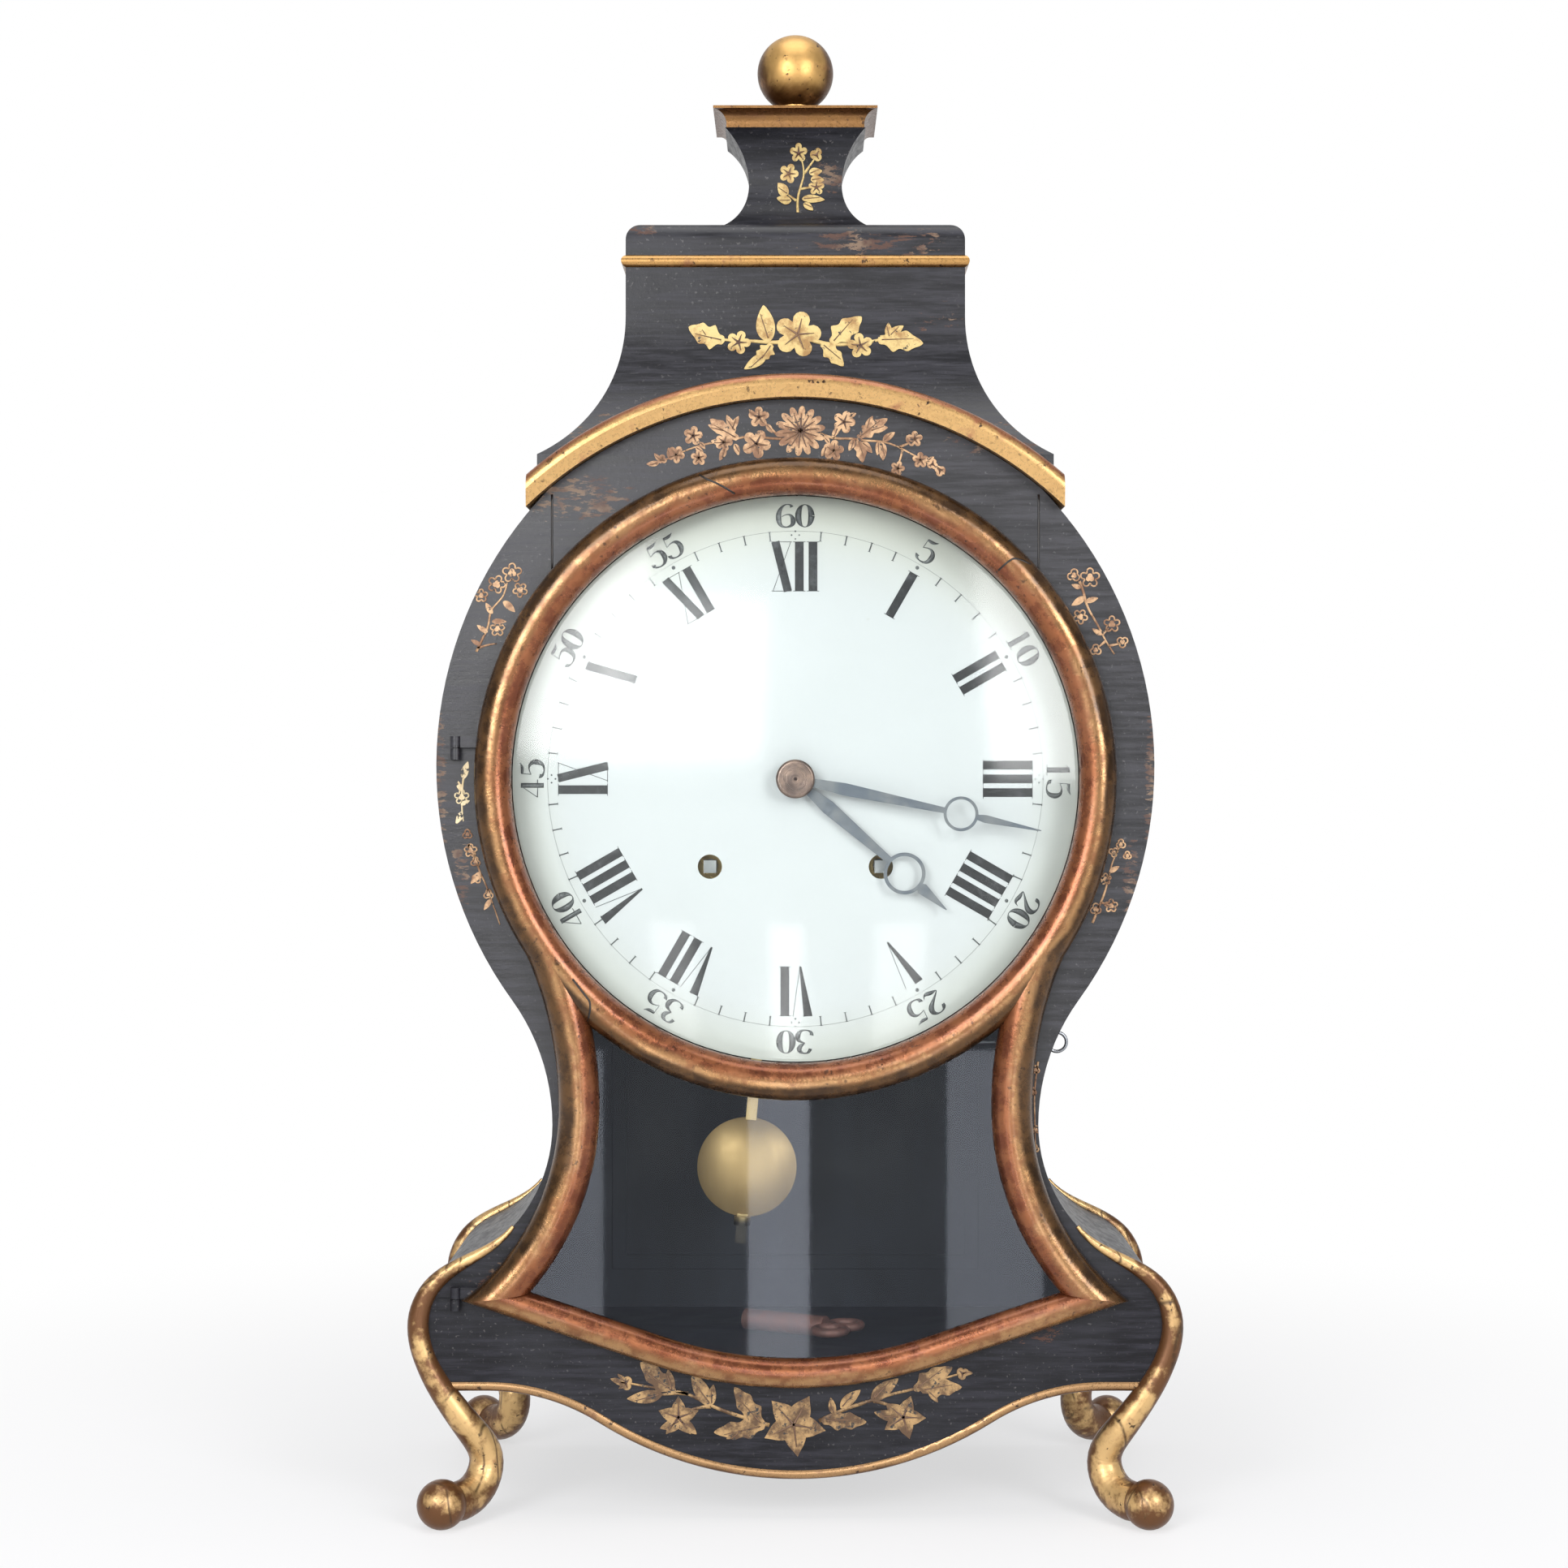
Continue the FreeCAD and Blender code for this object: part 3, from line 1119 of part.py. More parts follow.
for k in range(ESCAPE_TEETH):
    for r, turn in ((1.0, 0.0), (0.8, 0.15), (0.8, 0.6)):
        saw.append(polar(escape_at[0], DIAL_HEIGHT + escape_at[1], ESCAPE_RADIUS * r, (k + turn) * step))
phase = in_mesh(THIRD, third_at, SMALL_PINION, escape_at)
escape = wheel_work(escape_at, (SMALL_PINION, TRAIN_MODULE, phase, L_THIRD, WHEEL), None)
add("escape_wheel", fuse([escape, polygon(saw, L_ESCAPE, L_ESCAPE + WHEEL)]))
phase = in_mesh(GREAT, strike_at, GREAT_PINION, strike_second_at)
add("strike_second_wheel", wheel_work(
    strike_second_at,
    (GREAT_PINION, GREAT_MODULE, phase, L_GREAT, GREAT_WIDTH),
    (SECOND, SECOND_MODULE, 0.0, L_SECOND, WHEEL)))
PIN_CIRCLE = 15.5
PIN_LENGTH = 3.0
PIN_COUNT = 8
phase = in_mesh(SECOND, strike_second_at, SECOND_PINION, pin_at)
pin_wheel = [wheel_work(
    pin_at,
    (SECOND_PINION, SECOND_MODULE, phase, L_SECOND, WHEEL),
    (PIN_WHEEL, PIN_MODULE, 0.0, L_PIN, WHEEL))]
for k in range(PIN_COUNT):
    p = polar(pin_at[0], DIAL_HEIGHT + pin_at[1], PIN_CIRCLE, 360.0 * k / PIN_COUNT)
    pin_wheel.append(rod_y(p[0], p[1], PIVOT / 2, L_PIN, L_PIN + WHEEL + PIN_LENGTH))
add("pin_wheel", fuse(pin_wheel))
phase = in_mesh(PIN_WHEEL, pin_at, WARNING_PINION, warning_at)
add("warning_wheel", wheel_work(
    warning_at,
    (WARNING_PINION, PIN_MODULE, phase, L_PIN, WHEEL),
    (WARNING, TRAIN_MODULE, 0.0, L_WARNING, WHEEL)))
FLY_HALF = 11.0
FLY_LENGTH = 15.0
phase = in_mesh(WARNING, warning_at, WARNING_PINION, fly_at)
fly = wheel_work(fly_at, (WARNING_PINION, TRAIN_MODULE, phase, L_WARNING, WHEEL), None)
fly_z = DIAL_HEIGHT + fly_at[1]
vane_y = L_SECOND + WHEEL
vane = box(fly_at[0] - FLY_HALF, fly_at[0] + FLY_HALF, vane_y, vane_y + FLY_LENGTH,
           fly_z - PIVOT / 2, fly_z + PIVOT / 2)
add("fly", fuse([fly, vane]))

# Plates, pillars and the motion work behind the dial

MOTION_STUD = 1.5
PILLAR_IN = 8.0
plate_low = DIAL_HEIGHT - PLATE_BELOW
plate_top = DIAL_HEIGHT + PLATE_ABOVE
front_plate = box(-PLATE_HALF, PLATE_HALF, PLATE_FRONT, LEVEL, plate_low, plate_top)
back_plate = box(-PLATE_HALF, PLATE_HALF, PLATE_BACK, PLATE_BACK + PLATE, plate_low, plate_top)
going_pivots = [going_second_at, third_at, escape_at, pallet_at]
strike_pivots = [strike_second_at, pin_at, warning_at, fly_at, hammer_at]
for at in going_pivots + strike_pivots:
    hole = rod_y(at[0], DIAL_HEIGHT + at[1], PIVOT + RUN, FRONT, BACK)
    front_plate = front_plate.cut(hole)
    back_plate = back_plate.cut(hole)
front_plate = front_plate.cut(rod_y(0, DIAL_HEIGHT, ARBOR + RUN, FRONT, BACK))
back_plate = back_plate.cut(rod_y(0, DIAL_HEIGHT, PIVOT + RUN, FRONT, BACK))
for at in (going_at, strike_at):
    hole = rod_y(at[0], DIAL_HEIGHT + at[1], WIND_PIVOT + RUN, FRONT, BACK)
    front_plate = front_plate.cut(hole)
    back_plate = back_plate.cut(hole)
motion_z = DIAL_HEIGHT + motion_at[1]
L_CANNON = PLATE_FRONT - GAP - 3.0
L_HOUR = L_CANNON - 4.2
MOTION_SHEET = 1.4
stud = rod_y(0, motion_z, MOTION_STUD, L_HOUR - 2 * MOTION_SHEET, PLATE_FRONT)
add("front_plate", fuse([front_plate, stud]))
pillars = []
for sx in (-1, 1):
    for z in (plate_low + PILLAR_IN, plate_top - PILLAR_IN):
        pillars.append(rod_y(sx * (PLATE_HALF - PILLAR_IN), z, PILLAR, LEVEL, PLATE_BACK))
add("back_plate", fuse([back_plate] + pillars))

cannon = fuse([gear(CANNON, MOTION_MODULE, centre_at, 0.0, L_CANNON, PLATE_FRONT - GAP),
               rod_y(0, DIAL_HEIGHT, CANNON_PIPE, minute_front, PLATE_FRONT - GAP)])
add("cannon_pinion", cannon.cut(rod_y(0, DIAL_HEIGHT, ARBOR + RUN, minute_front - 1, PLATE_FRONT)))
minute_phase = in_mesh(CANNON, centre_at, MINUTE_WHEEL, motion_at)
wheel_y = L_CANNON + MOTION_SHEET / 2
pinion_y = L_HOUR - MOTION_SHEET
motion = fuse([gear(MINUTE_WHEEL, MOTION_MODULE, motion_at, minute_phase, wheel_y, wheel_y + MOTION_SHEET),
               gear(MOTION_PINION, hour_module, motion_at, 0.0, pinion_y, wheel_y + MOTION_SHEET / 2)])
add("motion_wheel", motion.cut(rod_y(0, motion_z, MOTION_STUD + RUN, FRONT, PLATE_FRONT)))
hour_phase = in_mesh(MOTION_PINION, motion_at, HOUR_WHEEL, centre_at)
hour_y = L_HOUR + MOTION_SHEET / 2
hour_wheel = fuse([gear(HOUR_WHEEL, hour_module, centre_at, hour_phase, hour_y - MOTION_SHEET, hour_y),
                   rod_y(0, DIAL_HEIGHT, HOUR_PIPE, hour_front, hour_y)])
add("hour_wheel", hour_wheel.cut(rod_y(0, DIAL_HEIGHT, CANNON_PIPE + RUN, hour_front - 1, PLATE_FRONT)))

# Bell on a stand across the plates, and the hammer

STAND_HALF = 5.0
STAND = 3.0
POST = 2.5
bell_y = (PLATE_FRONT + PLATE_BACK + PLATE) / 2
bell_z = plate_top + BELL_LIFT
cup = Part.makeSphere(BELL_RADIUS, V(0, bell_y, bell_z))
cup = cup.cut(Part.makeSphere(BELL_RADIUS - BELL_WALL, V(0, bell_y, bell_z)))
cup = cup.cut(box(-2 * BELL_RADIUS, 2 * BELL_RADIUS, bell_y - 2 * BELL_RADIUS, bell_y + 2 * BELL_RADIUS,
                  bell_z - 2 * BELL_RADIUS, bell_z))
bell_in = bell_z + BELL_RADIUS - BELL_WALL
bell_top = bell_z + BELL_RADIUS
post_hole = rod_z(0, bell_y, POST, bell_z, bell_top + BELL_RADIUS)
add("bell", cup.cut(post_hole))
stand = fuse([box(-STAND_HALF, STAND_HALF, PLATE_FRONT, PLATE_BACK + PLATE, plate_top, plate_top + STAND),
              rod_z(0, bell_y, POST, plate_top, bell_top + POST),
              rod_z(0, bell_y, 2 * POST, bell_in - 3 * POST, bell_in - GAP * 2)])
nut = rod_z(0, bell_y, 2 * POST, bell_top, bell_top + POST).cut(post_hole)
add("bell_stand", Part.makeCompound([stand, nut]))

HAMMER_GAP = 2.6
HAMMER_HEAD = 4.0
HAMMER_LENGTH = 10.0
HAMMER_BAR = 1.5
hammer_y = L_PIN + WHEEL + PIN_LENGTH / 2
hammer_z = DIAL_HEIGHT + hammer_at[1]
head_z = bell_z + HAMMER_HEAD
slip = hammer_y - bell_y
bell_side = -math.sqrt((BELL_RADIUS ** 2) - (head_z - bell_z) ** 2 - slip ** 2)
head_x = bell_side - HAMMER_GAP - HAMMER_LENGTH
arm = polygon([(hammer_at[0] - HAMMER_BAR, hammer_z), (head_x + HAMMER_LENGTH / 2 - HAMMER_BAR, head_z),
               (head_x + HAMMER_LENGTH / 2 + HAMMER_BAR, head_z), (hammer_at[0] + HAMMER_BAR, hammer_z)],
              hammer_y - PIVOT, hammer_y + PIVOT)
reach = math.hypot(pin_at[0] - hammer_at[0], pin_at[1] - hammer_at[1]) - PIN_CIRCLE - 3 * PIVOT
tail_turn = bearing(hammer_at, pin_at)
tail = box(hammer_at[0], hammer_at[0] + reach, hammer_y - PIVOT, hammer_y + PIVOT,
           hammer_z - PIVOT, hammer_z + PIVOT)
tail.rotate(V(hammer_at[0], hammer_y, hammer_z), V(0, -1, 0), tail_turn)
head = rod_x(hammer_y, head_z, HAMMER_HEAD, head_x, head_x + HAMMER_LENGTH)
add("hammer", fuse(pivoted(hammer_at) + [arm, tail, head]))

# Pallets, crutch, back cock and pendulum, drawn upright and then swung to the stored pose

swing_z = DIAL_HEIGHT + PALLET_LIFT
BACK_FACE = PLATE_BACK + PLATE
CRUTCH = 2.0
CRUTCH_LENGTH = 52.0
COCK_HALF = 16.0
COCK_REACH = 17.0
COCK_ARM = 2.0
EYE = 4.0


def swung(shape):
    shape.rotate(V(0, 0, swing_z), V(0, 1, 0), SWING_REST)
    return shape


span = ESCAPE_RADIUS * 0.86
fall = PALLET_LIFT - ESCAPE_LIFT - ESCAPE_RADIUS * 0.87
anchor = polygon([(0, swing_z + 4), (-span * 0.62, swing_z - 1), (-span - 1.7, swing_z - fall + 2),
                  (-span, swing_z - fall), (-span * 0.7, swing_z - fall * 0.55), (0, swing_z - 3.2),
                  (span * 0.7, swing_z - fall * 0.55), (span, swing_z - fall),
                  (span + 1.7, swing_z - fall + 2), (span * 0.62, swing_z - 1)], L_ESCAPE, L_ESCAPE + WHEEL)
crutch = [
    rod_y(0, swing_z, PIVOT, BACK_FACE, BACK_FACE + GAP + CRUTCH),
    rod_y(0, swing_z, 2 * ARBOR, BACK_FACE + GAP, BACK_FACE + GAP + CRUTCH),
    box(-ARBOR, ARBOR, BACK_FACE + GAP, BACK_FACE + GAP + CRUTCH, swing_z - CRUTCH_LENGTH, swing_z),
    rod_y(0, swing_z - CRUTCH_LENGTH + ARBOR, PIVOT, BACK_FACE + GAP, PENDULUM_Y + 2 * ROD_SHEET),
]
add("pallets", swung(fuse(pivoted(pallet_at) + [anchor] + crutch)))

cock_y = BACK_FACE + COCK_REACH
cock_z = (swing_z - EYE, swing_z + 2 * EYE)
cock = [box(-COCK_HALF, COCK_HALF, cock_y, cock_y + PLATE, *cock_z),
        rod_y(0, swing_z, SUSPENSION_PIN, PENDULUM_Y - 2 * ROD_SHEET, cock_y + PLATE)]
for sx in (-1, 1):
    x = sx * (COCK_HALF - COCK_ARM)
    cock.append(box(x - COCK_ARM, x + COCK_ARM, BACK_FACE, cock_y + PLATE, *cock_z))
add("back_cock", fuse(cock))

rod_y0 = PENDULUM_Y - ROD_SHEET / 2
rod_y1 = PENDULUM_Y + ROD_SHEET / 2
bob_z = swing_z - PENDULUM_LENGTH
NUT = 4.0
rod_low = bob_z - BOB_RADIUS - 3 * NUT
SLOT = 8.0
slot = box(-PIVOT - GAP, PIVOT + GAP, rod_y0 - 1, rod_y1 + 1,
           swing_z - CRUTCH_LENGTH + ARBOR - SLOT / 2, swing_z - CRUTCH_LENGTH + ARBOR + SLOT / 2)
strip = fuse([box(-ROD_HALF, ROD_HALF, rod_y0, rod_y1, rod_low, swing_z),
              rod_y(0, swing_z, EYE, rod_y0, rod_y1)])
strip = strip.cut(slot).cut(rod_y(0, swing_z, SUSPENSION_PIN + RUN, rod_y0 - 1, rod_y1 + 1))
bob_ball = (BOB_RADIUS ** 2 + BOB_HALF ** 2) / (2 * BOB_HALF)
lens = Part.makeSphere(bob_ball, V(0, PENDULUM_Y - BOB_HALF + bob_ball, bob_z))
lens = lens.common(Part.makeSphere(bob_ball, V(0, PENDULUM_Y + BOB_HALF - bob_ball, bob_z)))
bob_y = (PENDULUM_Y - 2 * BOB_HALF, PENDULUM_Y + 2 * BOB_HALF)
lens = lens.common(rod_y(0, bob_z, BOB_RADIUS - BOB_RIM, *bob_y))
channel = box(-ROD_HALF - RUN, ROD_HALF + RUN, rod_y0 - RUN, rod_y1 + RUN,
              bob_z - 2 * BOB_RADIUS, bob_z + 2 * BOB_RADIUS)
nut_z = bob_z - BOB_RADIUS + BOB_RIM
rating = rod_z(0, PENDULUM_Y, NUT, nut_z - NUT, nut_z).cut(channel)
add("pendulum_bob", swung(lens.cut(channel)))
add("pendulum_rod", Part.makeCompound([swung(strip), swung(rating)]))

# Strike pull: a wire with a ring outside the right wall and a stop inside

wall_x = WAIST_CENTRE[0] - math.sqrt(WAIST_RADIUS ** 2 - (PULL_HEIGHT - WAIST_HEIGHT) ** 2)
PULL_OUT = 3.0       # ring stands this far off the wall
ring_x = wall_x + PULL_OUT + PULL_RING + PULL_WIRE
STOP = 2.4
stop_x = wall_x - 1.5 * SIDE_WALL - PULL_STROKE
pull = fuse([rod_x(PULL_Y, PULL_HEIGHT, PULL_WIRE, stop_x - STOP, ring_x - PULL_RING),
             rod_x(PULL_Y, PULL_HEIGHT, STOP, stop_x - STOP, stop_x),
             Part.makeTorus(PULL_RING, PULL_WIRE, V(ring_x, PULL_Y, PULL_HEIGHT), V(0, 1, 0))])
add("strike_pull", pull)

# Winding key on the case floor

key_z = FLOOR_TOP + GAP + KEY_SHAFT
key = [Part.makeCylinder(KEY_SHAFT, KEY_LENGTH, V(0, 0, key_z), V(-1, 0, 0)),
       Part.makeTorus(KEY_BOW - KEY_WIRE, KEY_WIRE, V(KEY_BOW * 0.7, KEY_BOW * 0.86, key_z), V(0, 0, 1)),
       Part.makeTorus(KEY_BOW - KEY_WIRE, KEY_WIRE, V(KEY_BOW * 0.7, -KEY_BOW * 0.86, key_z), V(0, 0, 1)),
       box(-KEY_WIRE, KEY_BOW * 0.5, -KEY_WIRE, KEY_WIRE, key_z - KEY_WIRE, key_z + KEY_WIRE)]
key = fuse(key)
socket = WIND_SQUARE / 2 + RUN
key = key.cut(box(-KEY_LENGTH - 1, -KEY_LENGTH * 0.6, -socket, socket, key_z - socket, key_z + socket))
key.rotate(V(0, 0, key_z), V(0, 0, 1), -KEY_TURN)
key.translate(V(KEY_X, KEY_Y, 0))
add("winding_key", key)

os.makedirs("parts", exist_ok=True)
for name, shape in parts.items():
    shape.exportStep("parts/" + name + ".step")
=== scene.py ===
import math
import bpy
from mathutils import Matrix, Vector


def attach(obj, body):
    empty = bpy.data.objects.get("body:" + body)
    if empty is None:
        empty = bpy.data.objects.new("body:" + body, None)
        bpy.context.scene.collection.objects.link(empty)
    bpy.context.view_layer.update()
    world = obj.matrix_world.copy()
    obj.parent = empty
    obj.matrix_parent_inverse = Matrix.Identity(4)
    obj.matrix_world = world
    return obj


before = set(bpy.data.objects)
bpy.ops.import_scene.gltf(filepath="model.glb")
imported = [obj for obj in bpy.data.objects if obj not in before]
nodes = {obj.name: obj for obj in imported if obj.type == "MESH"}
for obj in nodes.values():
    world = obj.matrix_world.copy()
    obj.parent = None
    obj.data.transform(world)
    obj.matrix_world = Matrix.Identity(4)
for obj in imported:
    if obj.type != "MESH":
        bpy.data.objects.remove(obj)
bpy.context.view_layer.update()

# The photograph's frame: pixels across, millimetres per pixel on the case front,
# the pixel straight ahead of the lens, the lens's place in metres and its sensor in millimetres.
PHOTO = 1932
PIXEL = 0.358
AHEAD_X = 980
AHEAD_Y = 950
LENS_HEIGHT = 0.331
LENS_AWAY = 1.3
SENSOR = 36
CASE_FRONT = -0.075
DIAL = Vector((0, 0, 0.3275))
# Flat pieces are drawn in this plane, ahead of the clock, and pressed back on to it.
# A point that is still short of MISSED afterwards met no surface.
DRAWN_AT = -0.2
MISSED = DRAWN_AT + 0.001


def unpick():
    """Leave every piece out of the next operation."""
    bpy.ops.object.select_all(action="DESELECT")


def pick(*objs):
    unpick()
    for o in objs:
        o.select_set(True)
    bpy.context.view_layer.objects.active = objs[0]


def open_mesh(obj):
    """Start editing a mesh, with all of it picked."""
    pick(obj)
    bpy.ops.object.mode_set(mode="EDIT")
    bpy.ops.mesh.select_all(action="SELECT")


def close_mesh():
    bpy.ops.object.mode_set(mode="OBJECT")


def settle(obj):
    """Put an object's place into its mesh."""
    pick(obj)
    bpy.ops.object.transform_apply(location=True, rotation=True, scale=True)
    return obj


def apply_all(obj):
    pick(obj)
    for m in list(obj.modifiers):
        bpy.ops.object.modifier_apply(modifier=m.name)
    return obj


def weld(objs, name):
    """Join several meshes into one named piece."""
    pick(*objs)
    if len(objs) > 1:
        bpy.ops.object.join()
    obj = bpy.context.object
    obj.name = name
    obj.data.name = name
    return settle(obj)


def dress(obj, finish):
    obj.data.materials.clear()
    obj.data.materials.append(finish)
    return obj


# Camera

lens = bpy.data.cameras.new("lens")
lens.sensor_width = SENSOR
lens.lens = SENSOR * LENS_AWAY * 1000 / (PHOTO * PIXEL)
lens.shift_x = (PHOTO / 2 - AHEAD_X) / PHOTO
lens.shift_y = (AHEAD_Y - PHOTO / 2) / PHOTO
lens.clip_start = 0.05
camera = bpy.data.objects.new("camera", lens)
camera.location = (0, CASE_FRONT - LENS_AWAY, LENS_HEIGHT)
camera.rotation_euler = (math.radians(90), 0, 0)
bpy.context.scene.collection.objects.link(camera)
bpy.context.scene.camera = camera
bpy.context.scene.view_settings.view_transform = "Standard"


# Finishes

class Nodes:
    """A tree of shader nodes."""

    def __init__(self, tree):
        self.tree = tree
        tree.nodes.clear()

    def add(self, kind, **values):
        node = self.tree.nodes.new(kind)
        for k, v in values.items():
            setattr(node, k, v)
        return node

    def link(self, a, b):
        self.tree.links.new(a, b)

    def feed(self, socket, value):
        if isinstance(value, bpy.types.NodeSocket):
            self.link(value, socket)
        elif isinstance(value, (tuple, list)) and len(value) == 3 and socket.type == "RGBA":
            socket.default_value = (*value, 1)
        else:
            socket.default_value = value

    def step(self, value, low, high, out_low=0, out_high=1, kind="SMOOTHSTEP"):
        n = self.add("ShaderNodeMapRange", interpolation_type=kind)
        self.link(value, n.inputs["Value"])
        ends = (("From Min", low), ("From Max", high), ("To Min", out_low), ("To Max", out_high))
        for key, v in ends:
            n.inputs[key].default_value = v
        return n.outputs["Result"]

    def sum(self, kind, a, b=0.0):
        n = self.add("ShaderNodeMath", operation=kind)
        self.feed(n.inputs[0], a)
        self.feed(n.inputs[1], b)
        return n.outputs["Value"]

    def times(self, a, b):
        return self.sum("MULTIPLY", a, b)

    def plus(self, a, b):
        return self.sum("ADD", a, b)

    def less(self, a, b):
        return self.sum("SUBTRACT", a, b)

    def most(self, a, b):
        return self.sum("MAXIMUM", a, b)

    def mix(self, share, a, b, onto):
        """Show shader a, and b by its share."""
        n = self.add("ShaderNodeMixShader")
        self.link(share, n.inputs[0])
        self.link(a.outputs[0], n.inputs[1])
        self.link(b.outputs[0], n.inputs[2])
        self.link(n.outputs[0], onto.inputs["Surface"])


class Finish(Nodes):
    """A material made of procedural nodes on the piece's own coordinates."""

    def __init__(self, name):
        self.mat = bpy.data.materials.new(name)
        self.mat.use_nodes = True
        super().__init__(self.mat.node_tree)
        self.out = self.add("ShaderNodeOutputMaterial")
        self.skin = self.add("ShaderNodeBsdfPrincipled")
        self.link(self.skin.outputs["BSDF"], self.out.inputs["Surface"])
        self.where = self.add("ShaderNodeTexCoord").outputs["Object"]

    def set(self, **values):
        for k, v in values.items():
            self.feed(self.skin.inputs[k.replace("_", " ")], v)

    def stretch(self, scale, turn=(0, 0, 0)):
        m = self.add("ShaderNodeMapping")
        self.link(self.where, m.inputs["Vector"])
        m.inputs["Scale"].default_value = scale
        m.inputs["Rotation"].default_value = turn
        return m.outputs["Vector"]

    def grain(self, scale, detail=4, rough=0.55, vector=None, warp=0):
        n = self.add("ShaderNodeTexNoise")
        self.link(vector or self.where, n.inputs["Vector"])
        n.inputs["Scale"].default_value = scale
        n.inputs["Detail"].default_value = detail
        n.inputs["Roughness"].default_value = rough
        n.inputs["Distortion"].default_value = warp
        return n.outputs["Fac"]

    def crackle(self, scale, vector=None):
        n = self.add("ShaderNodeTexVoronoi", feature="DISTANCE_TO_EDGE")
        self.link(vector or self.where, n.inputs["Vector"])
        n.inputs["Scale"].default_value = scale
        return n.outputs["Distance"]

    def blend(self, share, a, b):
        n = self.add("ShaderNodeMix", data_type="RGBA")
        self.feed(n.inputs[0], share)
        self.feed(n.inputs[6], a)
        self.feed(n.inputs[7], b)
        return n.outputs[2]

    def vector(self, kind, a, b=None):
        n = self.add("ShaderNodeVectorMath", operation=kind)
        self.feed(n.inputs[0], a)
        if b is not None:
            self.feed(n.inputs[1], b)
        return n.outputs["Value"] if kind in ("DOT_PRODUCT", "LENGTH") else n.outputs["Vector"]

    def part_of(self, axis):
        n = self.add("ShaderNodeSeparateXYZ")
        self.link(self.where, n.inputs[0])
        return n.outputs[axis]

    def lean(self, way):
        """How far the surface faces a way: 1 straight at it."""
        return self.vector("DOT_PRODUCT", self.add("ShaderNodeNewGeometry").outputs["Normal"], way)

    def raise_by(self, height, depth, strength):
        n = self.add("ShaderNodeBump")
        self.link(height, n.inputs["Height"])
        n.inputs["Distance"].default_value = depth
        n.inputs["Strength"].default_value = strength
        self.link(n.outputs["Normal"], self.skin.inputs["Normal"])

    def spot(self, centre, radii):
        """1 at a place on the clock, in millimetres, falling to 0 at the radii."""
        at = self.vector("SUBTRACT", self.where, [c / 1000 for c in centre])
        flat = self.vector("MULTIPLY", at, [1000 / r for r in radii])
        return self.step(self.vector("LENGTH", flat), 0.35, 1.0, 1, 0)


def off_dial(f):
    """The way out from the dial's axis, as long as the distance in metres."""
    return f.vector("MULTIPLY", f.vector("SUBTRACT", f.where, tuple(DIAL)), (1, 0, 1))


# Worn places of the lacquer: middle and radii in millimetres.
RUBBED = (
    ((27, -45, 571), (34, 40, 9)),
    ((56, -36, 572), (16, 30, 10)),
    ((-92, -70, 487), (26, 30, 12)),
    ((90, -70, 480), (34, 30, 16)),
    ((-95, -75, 452), (34, 20, 16)),
    ((18, 0, 608), (12, 30, 12)),
    ((-128, -75, 105), (22, 20, 12)),
    ((105, -75, 83), (24, 20, 6)),
    ((65, -50, 535), (18, 30, 12)),
    ((-157, -75, 325), (5, 30, 60)),
    ((157, -75, 325), (5, 30, 60)),
    ((148, -75, 285), (6, 30, 30)),
    ((-148, -75, 285), (6, 30, 30)),
    ((-70, -30, 577), (12, 30, 5)),
    ((-30, 10, 600), (8, 30, 20)),
)


def lacquer():
    f = Finish("black_lacquer")
    brush = f.grain(1.0, 6, 0.72, f.stretch((30, 90, 430)))
    broad = f.grain(14, 4, 0.6)
    fine = f.grain(520, 3, 0.6)
    tone = f.blend(f.step(brush, 0.40, 0.66), (0.0056, 0.0056, 0.0078), (0.0195, 0.0192, 0.0262))
    tone = f.blend(f.step(broad, 0.45, 0.7, 0, 0.55), tone, (0.021, 0.0215, 0.026))
    dust = f.times(f.step(fine, 0.615, 0.69), f.step(broad, 0.36, 0.60))
    tone = f.blend(f.times(dust, 0.36), tone, (0.15, 0.14, 0.14))
    scuff = f.grain(1.0, 7, 0.72, f.stretch((120, 200, 420), (0, 0.45, 0)))
    scratch = f.step(f.grain(1.0, 3, 0.6, f.stretch((30, 40, 700), (0, 0.5, 0))), 0.735, 0.765)
    tone = f.blend(f.times(scratch, 0.3), tone, (0.16, 0.15, 0.15))
    gloss = f.step(brush, 0.35, 0.7, 0.33, 0.5)
    worn = f.spot(*RUBBED[0])
    for rub in RUBBED[1:]:
        worn = f.most(worn, f.spot(*rub))
    chips = f.step(f.plus(scuff, f.times(worn, 0.15)), 0.655, 0.675)
    chips = f.times(chips, f.step(worn, 0.02, 0.2))
    wood = f.blend(f.step(f.grain(60, 4, 0.6), 0.45, 0.6), (0.10, 0.045, 0.027), (0.25, 0.165, 0.105))
    tone = f.blend(f.times(chips, 0.6), tone, wood)
    gloss = f.plus(gloss, f.times(chips, 0.25))
    f.set(Base_Color=tone, Roughness=gloss)
    sheen = f.step(f.part_of("Z"), 0.08, 0.24, 0.2, 0.56)
    f.set(Specular_IOR_Level=f.less(sheen, f.step(f.part_of("Z"), 0.45, 0.53, 0, 0.2)))
    height = f.plus(f.times(brush, 0.5), f.times(fine, 0.5))
    f.raise_by(height, 0.00022, 0.6)
    return f.mat


# Heights of the legs' browned knees, and how far out and how high their dulled toes lie, in metres.
KNEE_FOOT = (0.05, 0.066)
KNEE_HEAD = (0.108, 0.122)
TOE_OUT = (0.143, 0.151)
TOE_TOP = (0.034, 0.042)
# Y behind which the arch moulding's top is black, not gilt.
ARCH_TOP_BLACK = (-0.080, -0.078)


